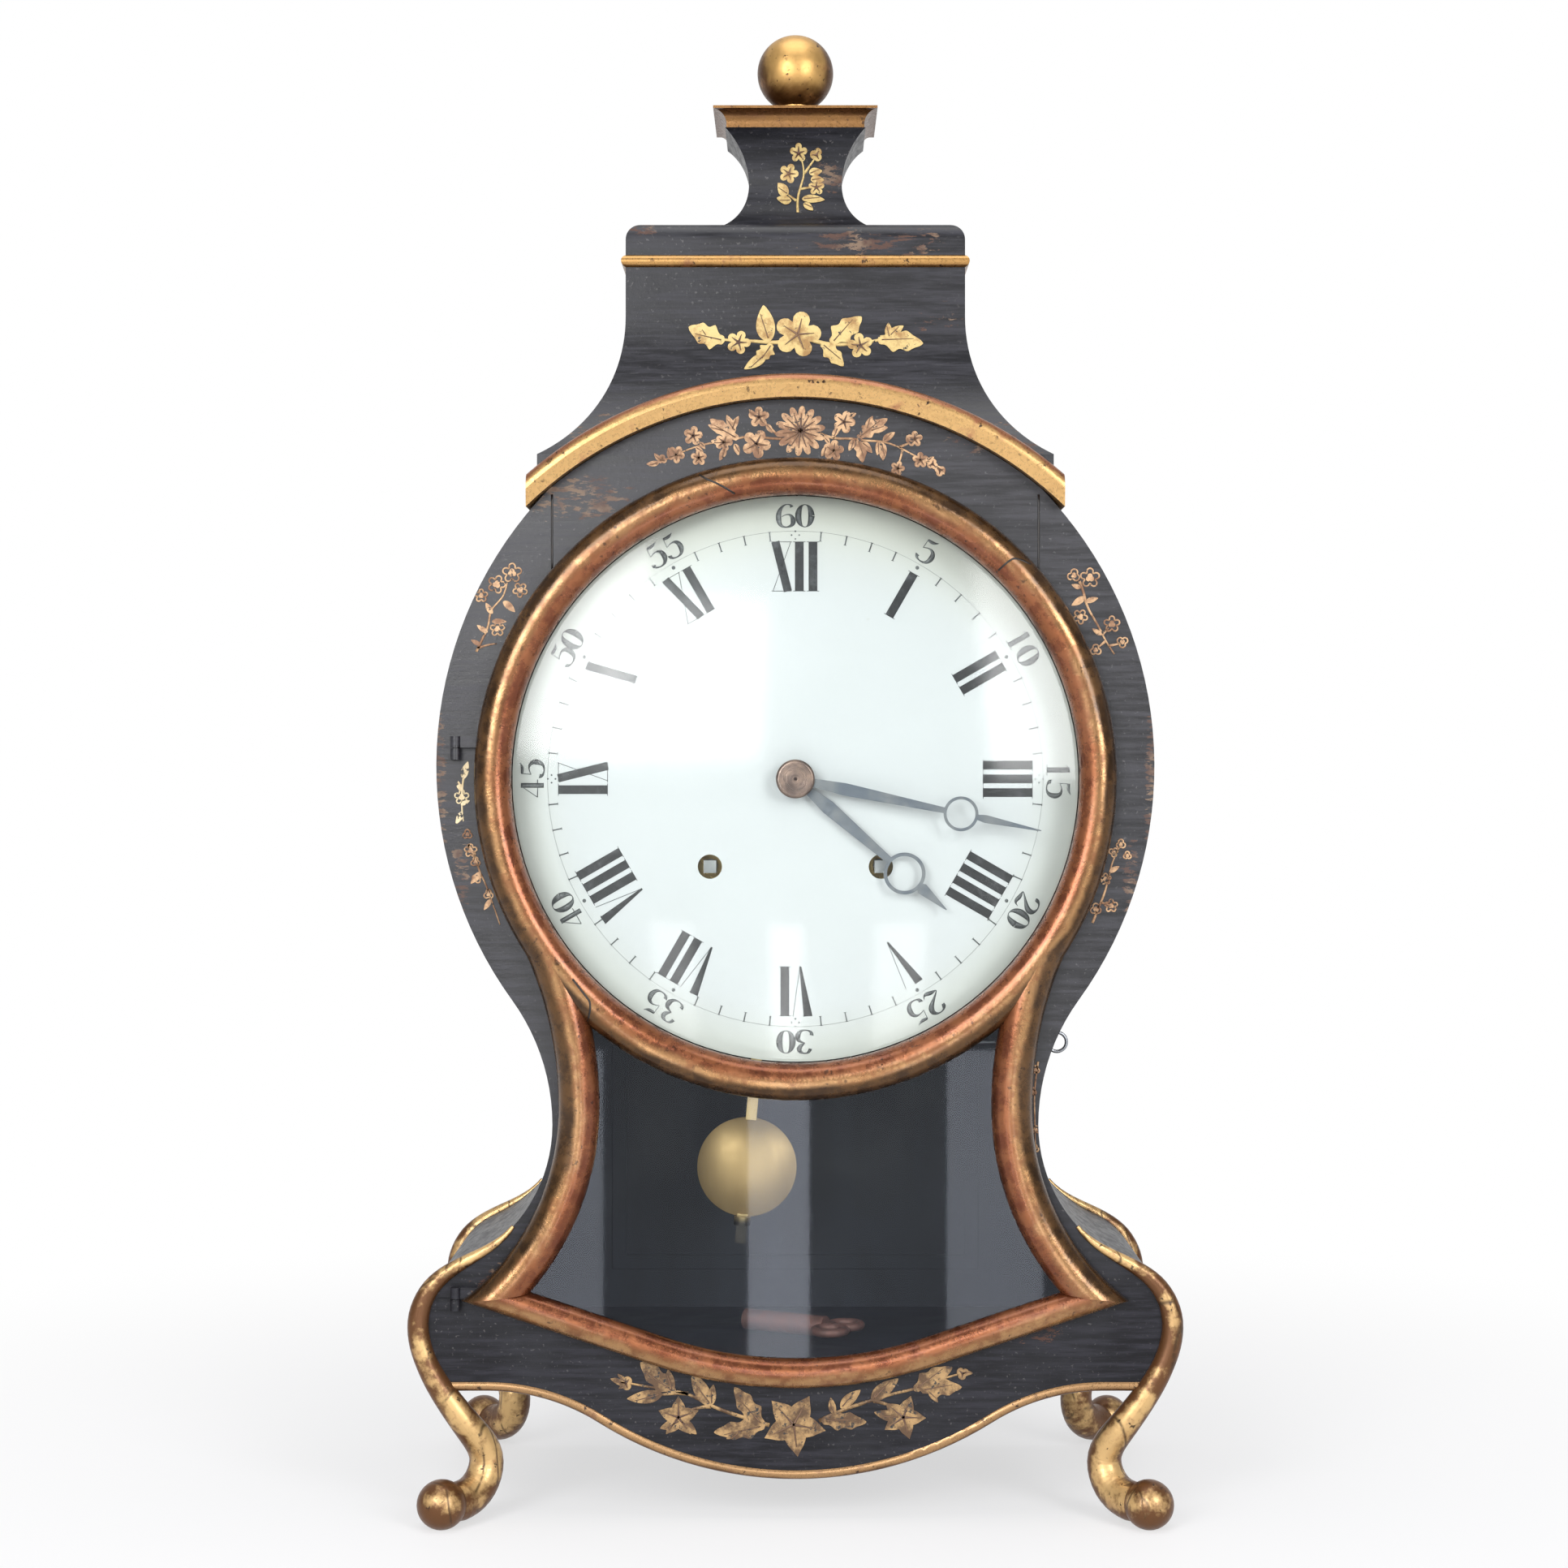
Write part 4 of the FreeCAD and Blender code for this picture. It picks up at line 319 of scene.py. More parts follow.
def knee_and_toe_mask(f):
    """1 on the knees and toes of the legs, where the leaf is browner."""
    height = f.part_of("Z")
    knee = f.times(f.step(height, *KNEE_FOOT), f.step(height, *KNEE_HEAD, 1, 0))
    outward = f.step(f.sum("ABSOLUTE", f.part_of("X")), *TOE_OUT)
    toe = f.times(outward, f.step(height, *TOE_TOP, 1, 0))
    return f.plus(knee, toe)


def gilding(name, gold, shade, bole, metal=0.7, speck=0.6, polish=(0.24, 0.38), red_top=False, leg_cracks=0):
    """Worn leaf over red clay, with painted light and shade: lit gold where the surface faces the front and up,
    the shade colour on flanks turned away, mottled by rubbed patches; grime in specks.

    red_top gives the arch moulding's red upper edge, leg_cracks the scale of the cracks in the legs' leaf.
    """
    f = Finish(name)
    cloud = f.grain(38, 5, 0.6, None, 0.6)
    blotch = f.grain(95, 5, 0.65)
    fine = f.grain(700, 3, 0.6)
    # Painted light and shade: rub is high on faces turned to the front and up, which take the lit gold, and low
    # on faces turned away, which take the shade colour; its noise adds rubbed patches.
    front = f.lean((0, -0.93, 0.36))
    rub = f.plus(front, f.times(f.less(cloud, 0.5), 1.3))
    if leg_cracks:
        flakes = f.times(f.less(blotch, 0.5), 2.4)
        dulled = f.times(knee_and_toe_mask(f), 0.42)
        rub = f.less(f.plus(rub, flakes), dulled)
    tone = f.blend(f.step(rub, 0.25, 0.85), shade, gold)
    tone = f.blend(f.step(blotch, 0.56, 0.74, 0, 0.8), tone, bole)
    share = f.step(blotch, 0.5, 0.78, metal, metal * 0.35)
    if red_top:
        up = f.lean((0, 0, 1))
        edge = f.plus(up, f.times(f.less(blotch, 0.5), 0.9))
        tone = f.blend(f.step(edge, 0.25, 0.6, 0, 0.85), tone, bole)
        behind = f.times(f.step(up, 0.35, 0.5), f.step(f.part_of("Y"), *ARCH_TOP_BLACK))
        tone = f.blend(behind, tone, (0.012, 0.012, 0.015))
        share = f.times(share, f.less(1.0, behind))
    dots = f.step(f.grain(300, 4, 0.6), 0.615, 0.66)
    dots = f.times(dots, f.step(blotch, 0.40, 0.55))
    tone = f.blend(f.times(dots, speck), tone, (0.028, 0.014, 0.009))
    height = f.plus(f.times(blotch, 0.7), f.times(fine, 0.15))
    if leg_cracks:
        crack = f.step(f.crackle(leg_cracks, f.stretch((1, 1, 0.45))), 0.0, 0.032, 1, 0)
        crack = f.times(crack, f.step(blotch, 0.42, 0.52))
        tone = f.blend(f.times(crack, 0.8), tone, (0.05, 0.025, 0.010))
        height = f.less(height, f.times(crack, 0.4))
    f.set(Base_Color=tone, Metallic=share)
    f.set(Roughness=f.step(fine, 0.3, 0.7, *polish))
    f.raise_by(height, 0.0004, 0.5)
    return f.mat


def rubbed_and_shaded_moulding(name, flank, inner, outer):
    """The door's gilding: red clay inside, gold on the crest, and painted shade in dark brown on the outer
    flank. flank gives the outward lean.
    """
    f = Finish(name)
    cloud = f.grain(30, 5, 0.62, None, 0.5)
    blotch = f.grain(120, 5, 0.65)
    fine = f.grain(800, 3, 0.6)
    lean = f.plus(flank(f), f.times(f.less(cloud, 0.5), 1.1))
    red = f.blend(f.step(blotch, 0.35, 0.65), (0.15, 0.042, 0.017), (0.25, 0.088, 0.034))
    gold = f.blend(f.step(blotch, 0.4, 0.66), (0.36, 0.195, 0.082), (0.20, 0.085, 0.034))
    dark = f.blend(f.step(blotch, 0.35, 0.65), (0.050, 0.024, 0.009), (0.115, 0.056, 0.019))
    tone = f.blend(f.step(lean, *inner), red, gold)
    # Painted shade: the flank turned outward, or down on the rail, takes the dark brown.
    tone = f.blend(f.step(lean, *outer), tone, dark)
    dots = f.times(f.step(f.grain(330, 4, 0.6), 0.62, 0.67), f.step(cloud, 0.40, 0.56))
    tone = f.blend(f.times(dots, 0.7), tone, (0.022, 0.010, 0.006))
    f.set(Base_Color=tone, Metallic=f.step(cloud, 0.3, 0.7, 0.8, 0.55))
    f.set(Roughness=f.step(blotch, 0.3, 0.7, 0.2, 0.34))
    f.set(Coat_Weight=0.2, Coat_Roughness=0.12)
    f.raise_by(f.plus(blotch, f.times(fine, 0.3)), 0.0005, 0.5)
    return f.mat


def lean_from_dial(f):
    return f.lean(f.vector("NORMALIZE", off_dial(f)))


def lean_sideways(f):
    return f.times(f.lean((1, 0, 0)), f.sum("SIGN", f.part_of("X")))


def lean_down(f):
    return f.lean((0, 0, -1))


def metal(name, tone, other, polish=(0.25, 0.42), share=0.9, scale=60, stretch=(1, 1, 1), depth=0.0001):
    """A plain metal with a little tarnish."""
    f = Finish(name)
    cloud = f.grain(scale, 5, 0.6, f.stretch(stretch))
    fine = f.grain(scale * 9, 3, 0.6)
    mottle = f.blend(f.step(cloud, 0.36, 0.66), tone, other)
    f.set(Base_Color=mottle, Roughness=f.step(fine, 0.3, 0.7, *polish))
    f.set(Metallic=share)
    f.raise_by(f.plus(cloud, f.times(fine, 0.3)), depth, 0.5)
    return f.mat


ROD_BLACK = (0.118, 0.124)  # heights between which the pendulum's rod turns from black to bright, in metres


def rod_metal():
    """Brass rod, bright above the bob and dark below it."""
    f = Finish("rod_brass")
    cloud = f.grain(80, 5, 0.6)
    fine = f.grain(700, 3, 0.6)
    tone = f.blend(f.step(cloud, 0.36, 0.66), (0.52, 0.38, 0.18), (0.36, 0.25, 0.11))
    tone = f.blend(f.step(f.part_of("Z"), *ROD_BLACK, 1, 0), tone, (0.028, 0.024, 0.02))
    f.set(Base_Color=tone, Metallic=0.7, Roughness=f.step(fine, 0.3, 0.7, 0.32, 0.46))
    f.raise_by(cloud, 0.0001, 0.5)
    return f.mat


def enamel():
    f = Finish("white_enamel")
    away = f.vector("LENGTH", off_dial(f))
    cloud = f.grain(18, 4, 0.6)
    fine = f.grain(900, 2, 0.5)
    tone = f.blend(f.step(cloud, 0.35, 0.7), (0.557, 0.564, 0.571), (0.545, 0.553, 0.558))
    tone = f.blend(f.step(away, 0.098, 0.126, 0, 0.9), tone, (0.54, 0.543, 0.502))
    # Painted shadow of the door ring: the dial is darker and yellower near the top of its rim.
    ring_shadow = f.times(f.step(away, 0.075, 0.122), f.step(f.part_of("Z"), 0.37, 0.45))
    tone = f.blend(f.times(ring_shadow, 0.55), tone, (0.455, 0.441, 0.367))
    flaw = f.times(f.step(f.grain(260, 4, 0.6), 0.70, 0.75), f.step(cloud, 0.5, 0.6))
    tone = f.blend(f.times(flaw, 0.3), tone, (0.42, 0.40, 0.36))
    f.set(Base_Color=tone, Roughness=f.step(fine, 0.3, 0.7, 0.16, 0.24))
    f.set(Specular_IOR_Level=0.45)
    f.raise_by(cloud, 0.0006, 0.35)
    return f.mat


def pane(name, haze, bend=1.45, mirror=(1, 1, 1)):
    """Old clear glass: it lets light straight through and mirrors a little. bend is its index."""
    f = Finish(name)
    f.tree.nodes.remove(f.skin)
    clear = f.add("ShaderNodeBsdfTransparent")
    clear.inputs["Color"].default_value = (0.965, 0.985, 0.98, 1)
    shine = f.add("ShaderNodeBsdfGlossy")
    shine.inputs["Roughness"].default_value = haze
    shine.inputs["Color"].default_value = (*mirror, 1)
    turn = f.add("ShaderNodeFresnel")
    turn.inputs["IOR"].default_value = bend
    outer = f.less(1.0, f.add("ShaderNodeNewGeometry").outputs["Backfacing"])
    f.mix(f.times(turn.outputs["Fac"], outer), clear, shine, f.out)
    return f.mat


def paint(name, tone, faded, low, high, share=0.0, gloss=0.45, bare=0.8):
    """A coat of paint or leaf that has rubbed down to the black in places."""
    f = Finish(name)
    cloud = f.grain(120, 5, 0.65)
    fine = f.grain(900, 3, 0.6)
    mottle = f.blend(f.step(cloud, low, high), tone, faded)
    mottle = f.blend(f.step(fine, 0.45, 0.8, 0, 0.35), mottle, faded)
    rubbed = f.step(f.grain(420, 5, 0.7), bare, bare + 0.05)
    mottle = f.blend(rubbed, mottle, (0.012, 0.012, 0.014))
    f.set(Base_Color=mottle, Metallic=f.times(f.less(1.0, rubbed), share))
    f.set(Roughness=gloss)
    f.raise_by(f.plus(cloud, fine), 0.0002, 0.4)
    return f.mat


def inner_board():
    f = Finish("inner_board")
    brush = f.grain(1.0, 4, 0.6, f.stretch((60, 60, 7)))
    cloud = f.grain(16, 3, 0.6, None, 0.8)
    tone = f.blend(f.step(brush, 0.4, 0.72), (0.0040, 0.0050, 0.0096), (0.0085, 0.0106, 0.0190))
    tone = f.blend(f.step(cloud, 0.45, 0.72, 0, 0.6), tone, (0.015, 0.0175, 0.027))
    f.set(Base_Color=tone, Roughness=f.step(cloud, 0.3, 0.7, 0.45, 0.62))
    f.set(Specular_IOR_Level=0.25)
    return f.mat


def collet_metal():
    f = Finish("turned_collet")
    away = f.vector("LENGTH", off_dial(f))
    wave = f.add("ShaderNodeTexNoise", noise_dimensions="1D")
    f.link(f.times(away, 3200.0), wave.inputs["W"])
    wave.inputs["Scale"].default_value = 1.0
    turned = wave.outputs["Fac"]
    cloud = f.grain(160, 4, 0.6)
    tone = f.blend(f.step(cloud, 0.35, 0.65), (0.29, 0.20, 0.162), (0.14, 0.102, 0.092))
    tone = f.blend(f.step(away, 0.0004, 0.0012, 1, 0), tone, (0.03, 0.02, 0.02))
    f.set(Base_Color=tone, Metallic=0.9, Roughness=f.step(turned, 0.3, 0.7, 0.26, 0.42))
    f.raise_by(turned, 0.0001, 0.5)
    return f.mat


BLACK = lacquer()
GOLD = gilding("worn_leaf", (0.58, 0.375, 0.16), (0.125, 0.052, 0.018), (0.24, 0.105, 0.040), 0.5, 0.9,
               polish=(0.3, 0.44), leg_cracks=42)
BEAD_GOLD = gilding("bead_leaf", (0.42, 0.23, 0.075), (0.15, 0.068, 0.021), (0.18, 0.065, 0.027), 0.65, 0.9)
EDGE_GOLD = gilding("edge_leaf", (0.33, 0.19, 0.085), (0.10, 0.045, 0.018), (0.15, 0.06, 0.028), 0.6, 0.9)
ARCH_GOLD = gilding("speckled_leaf", (0.47, 0.285, 0.11), (0.30, 0.16, 0.053), (0.22, 0.070, 0.034), 0.6, 1.0,
                    red_top=True)
BALL_GOLD = gilding("ball_leaf", (0.52, 0.31, 0.105), (0.10, 0.044, 0.013), (0.24, 0.11, 0.034), 0.8, 0.9,
                    polish=(0.36, 0.46))
CAP_GOLD = gilding("cap_leaf", (0.23, 0.112, 0.034), (0.11, 0.045, 0.015), (0.13, 0.04, 0.02), 0.6, 0.8)
RING_RED = rubbed_and_shaded_moulding("ring_gilding", lean_from_dial, (-0.45, 0.1), (0.05, 0.42))
STILE_RED = rubbed_and_shaded_moulding("stile_gilding", lean_sideways, (-0.45, 0.1), (0.05, 0.42))
RAIL_RED = rubbed_and_shaded_moulding("rail_gilding", lean_down, (-0.2, 0.4), (0.85, 1.1))
ENAMEL = enamel()
DOME_GLASS = pane("domed_glass", 0.11)
FLAT_GLASS = pane("flat_glass", 0.04, 1.40, (0.80, 0.85, 0.98))
BOARD = inner_board()
BRASS = metal("old_brass", (0.60, 0.43, 0.17), (0.42, 0.28, 0.10))
HINGE_IRON = metal("painted_iron", (0.010, 0.0102, 0.012), (0.021, 0.020, 0.022), (0.4, 0.6), 0.2)
BOB_BRASS = metal("bob_brass", (0.40, 0.268, 0.116), (0.32, 0.208, 0.083), (0.38, 0.5), 0.6, 40, (1, 1, 0.2))
ROD_BRASS = rod_metal()
STEEL = metal("dull_steel", (0.34, 0.36, 0.39), (0.22, 0.22, 0.23))
DARK_STEEL = metal("dark_steel", (0.24, 0.245, 0.25), (0.36, 0.36, 0.365), (0.3, 0.4), 0.7)
HAND_STEEL = metal("hand_steel", (0.135, 0.152, 0.18), (0.21, 0.215, 0.225), (0.3, 0.45), 0.85, 90)
KEY_IRON = metal("rusted_iron", (0.18, 0.078, 0.062), (0.095, 0.045, 0.038), (0.45, 0.7), 0.35, 120,
                 depth=0.0003)
COLLET = collet_metal()
PRINT = paint("fired_black", (0.010, 0.010, 0.012), (0.06, 0.06, 0.065), 0.5, 0.72, gloss=0.3)
THIN_PRINT = paint("thin_black", (0.050, 0.054, 0.056), (0.18, 0.185, 0.185), 0.45, 0.66, gloss=0.3)
CREAM = paint("cream_gold", (0.60, 0.49, 0.30), (0.40, 0.28, 0.14), 0.5, 0.7, 0.1, bare=0.56)
PALE_GOLD = paint("pale_gold", (0.57, 0.425, 0.175), (0.30, 0.17, 0.058), 0.44, 0.66, 0.25, bare=0.615)
COPPER_GOLD = paint("copper_gold", (0.52, 0.325, 0.175), (0.19, 0.092, 0.046), 0.40, 0.62, 0.2, bare=0.59)
OLIVE_GOLD = paint("olive_gold", (0.38, 0.235, 0.098), (0.085, 0.043, 0.018), 0.38, 0.60, 0.2, bare=0.575)
VEIN = paint("brown_vein", (0.075, 0.035, 0.022), (0.17, 0.09, 0.045), 0.40, 0.66, bare=0.62)
SEAM = paint("open_seam", (0.004, 0.003, 0.003), (0.02, 0.012, 0.008), 0.5, 0.7)

FINISHES = {
    BLACK: ("front_arch_board front_apron front_stile_left front_stile_right side_wall_left side_wall_right "
            "crown_hood crown_tier crown_neck roof_board case_hinges door_hinge_leaves"),
    BOARD: "back_board floor_board seat_board rear_door",
    GOLD: "front_legs rear_legs",
    BEAD_GOLD: "crown_bead",
    EDGE_GOLD: "base_beads",
    ARCH_GOLD: "arch_moulding",
    CAP_GOLD: "crown_cap",
    BALL_GOLD: "ball_finial",
    RING_RED: "door_ring",
    STILE_RED: "door_stile_left door_stile_right",
    RAIL_RED: "door_bottom_rail",
    DOME_GLASS: "dial_glass",
    FLAT_GLASS: "window_glass",
    ENAMEL: "dial",
    HAND_STEEL: "minute_hand hour_hand",
    COLLET: "hand_collet",
    BOB_BRASS: "pendulum_bob",
    ROD_BRASS: "pendulum_rod",
    STEEL: "pallets hammer bell_stand strike_pull",
    DARK_STEEL: "going_winding_arbor strike_winding_arbor",
    KEY_IRON: "winding_key",
    HINGE_IRON: "rear_hinge_leaves",
}
for finish, names in FINISHES.items():
    for n in names.split():
        dress(nodes[n], finish)
dressed = set(" ".join(FINISHES.values()).split())
for n, node in nodes.items():
    if n not in dressed:
        dress(node, BRASS)


# Placing by the photograph

CROWN_BACK = 36      # millimetres that the crown's front and its neck lie behind the case front
NECK_BACK = 74


def pixel_size(back=0.0):
    """Metres to a pixel on a face that lies so many millimetres behind the case front."""
    return PIXEL * (1 + back / (LENS_AWAY * 1000)) / 1000


def place(px, py, back=0.0):
    """X and Z, in metres, of a pixel on such a face."""
    k = pixel_size(back)
    return (px - AHEAD_X) * k, LENS_HEIGHT + (AHEAD_Y - py) * k


COAT_LIFT = 0.00012  # how far a coat of leaf stands off the wood, how thick it is,
COAT_THICK = 0.00016  # and how far the topmost of its leaves and flowers stands over the lowest
COAT_RISE = 0.0003


def press(obj, node, lift=COAT_LIFT, thick=COAT_THICK):
    """Lay a flat piece, drawn in the XZ plane, on the front of a node and trim what hangs over its edge."""
    wrap = obj.modifiers.new("wrap", "SHRINKWRAP")
    wrap.target = nodes[node]
    wrap.wrap_method = "PROJECT"
    wrap.use_project_y = True
    wrap.use_positive_direction = True
    wrap.use_negative_direction = False
    wrap.offset = lift
    wrap.wrap_mode = "ABOVE_SURFACE"
    apply_all(obj)
    open_mesh(obj)
    bpy.ops.mesh.select_mode(type="VERT")
    bpy.ops.mesh.select_all(action="DESELECT")
    close_mesh()
    for v in obj.data.vertices:
        v.select = v.co.y < MISSED
    bpy.ops.object.mode_set(mode="EDIT")
    bpy.ops.mesh.delete(type="VERT")
    close_mesh()
    if "rise" in obj.vertex_groups:
        over = obj.modifiers.new("over", "DISPLACE")
        over.direction = "Y"
        over.mid_level = 0
        over.strength = -COAT_RISE
        over.vertex_group = "rise"
    coat = obj.modifiers.new("coat", "SOLIDIFY")
    coat.thickness = thick
    coat.offset = 0
    apply_all(obj)
    open_mesh(obj)
    bpy.ops.mesh.normals_make_consistent(inside=False)
    close_mesh()
    return obj


def stroke(points, closed=False):
    """A flat pen stroke through (x, z, half width) points."""
    curve = bpy.data.curves.new("stroke", "CURVE")
    curve.dimensions = "3D"
    curve.twist_mode = "Z_UP"
    curve.extrude = 1.0
    curve.resolution_u = 6
    line = curve.splines.new("NURBS")
    line.points.add(len(points) - 1)
    for p, (x, z, half) in zip(line.points, points):
        p.co = (x, z, 0, 1)
        p.radius = half
        p.tilt = math.pi / 2
    line.order_u = 3
    line.use_endpoint_u = not closed
    line.use_cyclic_u = closed
    obj = bpy.data.objects.new("stroke", curve)
    bpy.context.scene.collection.objects.link(obj)
    pick(obj)
    bpy.ops.object.convert(target="MESH")
    obj = bpy.context.object
    obj.rotation_euler = (math.pi / 2, 0, 0)
    obj.location = (0, DRAWN_AT, 0)
    return settle(obj)


def bar(x0, z0, x1, z1, half, end=None):
    """A straight stroke with square ends, of even width or tapering to another half width."""
    unpick()
    bpy.ops.mesh.primitive_plane_add(size=1, location=(0, 0, 0))
    obj = bpy.context.object
    dx, dz = x1 - x0, z1 - z0
    long = math.hypot(dx, dz)
    obj.scale = (long, 2 * half, 1)
    settle(obj)
    open_mesh(obj)
    bpy.ops.mesh.subdivide(number_cuts=3)
    close_mesh()
    if end is not None:
        for v in obj.data.vertices:
            v.co.y *= 1 + (end / half - 1) * (v.co.x / long + 0.5)
    turn = Matrix.Rotation(math.atan2(dz, dx), 4, "Z")
    flat = Matrix.Rotation(math.pi / 2, 4, "X")
    obj.data.transform(Matrix.Translation(((x0 + x1) / 2, DRAWN_AT, (z0 + z1) / 2)) @ flat @ turn)
    return obj


# Dial print: hours, minutes and the track between them

# Sizes in millimetres; widths of strokes are half widths.
HOURS = "XII I II III IIII V VI VII VIII IX X XI".split()
STEM = 1.95
HAIR = 0.13
HOUR_FOOT = 83.4
HOUR_TALL = 22.2
HOUR_WIDE = {"I": 6.1, "V": 9.4, "X": 9.6}


def hour_strokes(word):
    """Straight strokes (x0, z0, x1, z1, half widths) of one hour, in millimetres about its middle."""
    x = -sum(HOUR_WIDE[c] for c in word) / 2
    out = []
    for c in word:
        w = HOUR_WIDE[c]
        if c == "I":
            out.append((x + w / 2, 0, x + w / 2, HOUR_TALL, STEM))
        elif c == "V":
            out.append((x + 2.1, HOUR_TALL, x + w / 2 + 0.9, 0, STEM, 0.45))
            out.append((x + w / 2 + 1.0, 0, x + w - 0.6, HOUR_TALL, HAIR))
            out.append((x + 0.2, HOUR_TALL - HAIR, x + 4.4, HOUR_TALL - HAIR, HAIR))
        else:
            out.append((x + 2.0, HOUR_TALL, x + w - 2.0, 0, STEM * 0.95))
            out.append((x + 0.9, 0, x + w - 0.7, HOUR_TALL, HAIR))
        if c != "V":
            for z in (HAIR, HOUR_TALL - HAIR):
                out.append((x + 0.3, z, x + w - 0.3, z, HAIR))
        x += w
    return out


# Pen runs of each number: (x, z, half width) as shares of its height.
DIGITS = {
    "0": [[(.225 * math.cos(t), .5 + .475 * math.sin(t), .016 + .092 * abs(math.cos(t)) ** 1.6)
           for t in [k * math.pi / 8 for k in range(17)]]],
    "1": [[(.02, .98, .085), (.02, .5, .085), (.02, .02, .085)],
          [(-.16, .02, .02), (.2, .02, .02)],
          [(-.15, .84, .02), (-.04, .9, .03), (.0, .97, .03)]],
    "2": [[(-.2, .72, .05), (-.21, .8, .075), (-.12, .97, .03), (.1, 1.0, .03), (.25, .84, .09),
           (.22, .62, .095), (.02, .4, .045), (-.24, .12, .018), (-.2, .08, .03), (-.02, .09, .075),
           (.16, .02, .06), (.26, .1, .02), (.28, .2, .016)]],
    "3": [[(-.18, .78, .06), (-.16, .92, .05), (.02, 1.0, .02), (.2, .88, .08), (.18, .68, .08),
           (.0, .55, .018)],
          [(.0, .55, .018), (.22, .48, .05), (.26, .26, .1), (.14, .02, .04), (-.08, .0, .02),
           (-.24, .1, .05), (-.22, .22, .07)]],
    "4": [[(.1, .98, .08), (.1, .5, .08), (.1, .02, .08)],
          [(.08, .98, .02), (-.1, .64, .02), (-.3, .28, .02)],
          [(-.3, .28, .022), (.3, .28, .022)]],
    "5": [[(-.17, .56, .018), (-.15, .78, .018), (-.14, .96, .018)],
          [(-.14, .93, .04), (.02, .9, .065), (.18, .97, .03), (.22, 1.02, .014)],
          [(-.17, .55, .018), (.0, .66, .02), (.22, .58, .06), (.27, .3, .1), (.16, .03, .045),
           (-.06, -.01, .02), (-.24, .09, .05), (-.22, .2, .075)]],
    "6": [[(.2, .86, .065), (.16, .98, .03), (-.04, .98, .02), (-.22, .74, .07), (-.26, .42, .1),
           (-.2, .1, .06), (.0, .0, .018), (.22, .1, .06), (.26, .3, .095), (.18, .52, .045),
           (.02, .58, .016), (-.14, .46, .02)]],
}
DIGIT_FOOT = 111.8
DIGIT_TALL = 10.7
DIGIT_WIDE = 13.2
DIGIT_PITCH = 0.64
PEN_HAIR = 0.04      # a narrower stroke is a hairline, as a share of the number's height
TRACK = (106.3, 110.4)
TRACK_LINE = 0.05
TICK = 0.3
TICK_BAR = 0.13
TICK_SPAN = 0.6
FIVE_DOT = ((0, 2.2, 0.85),)
QUARTER_DOTS = ((0, 0.5, 0.4), (0, 3.9, 0.4), (-1.7, 2.2, 0.4), (1.7, 2.2, 0.4))
PRINT_COAT = 0.06


def round_dial(pieces, turn, foot, name):
    """Weld strokes drawn upright about the origin and carry them round the dial, feet inwards."""
    obj = weld(pieces, name)
    rise = Matrix.Translation((0, 0, foot))
    spin = Matrix.Rotation(turn, 4, "Y")
    obj.data.transform(Matrix.Translation((0, 0, DIAL.z)) @ spin @ rise)
    return obj


def hour_print():
    hours = []
    for hour, word in enumerate(HOURS):
        cut = [bar(*[v / 1000 for v in line]) for line in hour_strokes(word)]
        hours.append(round_dial(cut, math.radians(30 * hour), HOUR_FOOT / 1000, "hour"))
    return dress(weld(hours, "hour_numerals"), PRINT)


def pen_half(half):
    """Half width of a pen stroke in millimetres: hairlines drawn thinner, swells fuller."""
    return (half * 0.8 if half < PEN_HAIR else half * 1.25) * DIGIT_TALL


def minute_strokes(word):
    """Pen strokes of one minute number, about its middle."""
    pen = []
    for i, c in enumerate(word):
        x = (i - (len(word) - 1) / 2) * DIGIT_PITCH
        for run in DIGITS[c]:
            pen.append(stroke([((px + x) * DIGIT_WIDE / 1000, pz * DIGIT_TALL / 1000, pen_half(half) / 1000)
                               for px, pz, half in run]))
    return pen


def minute_mark(m):
    """One mark of the track: a barred tick, a dot at the fives, four dots at the quarters."""
    marks = []
    if m % 5:
        tall = TRACK[1] - TRACK[0]
        marks.append(bar(0, 0, 0, tall / 1000, TICK / 1000))
        for z in (0, tall):
            marks.append(bar(-TICK_SPAN / 1000, z / 1000, TICK_SPAN / 1000, z / 1000, TICK_BAR / 1000))
        return marks
    for x, z, r in FIVE_DOT if m % 15 else QUARTER_DOTS:
        unpick()
        at = (x / 1000, DRAWN_AT, z / 1000)
        bpy.ops.mesh.primitive_circle_add(vertices=16, radius=r / 1000, fill_type="NGON", location=at,
                                          rotation=(math.pi / 2, 0, 0))
        marks.append(settle(bpy.context.object))
    return marks


def minute_print():
    minutes = []
    for mark in range(1, 13):
        pen = minute_strokes(str(5 * mark))
        minutes.append(round_dial(pen, math.radians(30 * mark), DIGIT_FOOT / 1000, "minute"))
    for m in range(60):
        minutes.append(round_dial(minute_mark(m), math.radians(6 * m), TRACK[0] / 1000, "tick"))
    edge = TRACK[1] / 1000
    circle = [(edge * math.sin(a), DIAL.z + edge * math.cos(a), TRACK_LINE / 1000)
              for a in [k * math.pi / 36 for k in range(72)]]
    minutes.append(stroke(circle, True))
    return dress(weld(minutes, "minute_numerals"), THIN_PRINT)


for piece in (hour_print(), minute_print()):
    press(piece, "dial", PRINT_COAT / 1000, PRINT_COAT / 1000)
    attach(piece, "case")


# Thin stops inside the rear opening, which close the gap round the rear door

OPENING = (-0.086, 0.086, 0.091, 0.425)
STOP_WIDE = 0.007
STOP_THICK = 0.0012
STOP_EDGE = 0.0003
BACK_INNER = 0.067


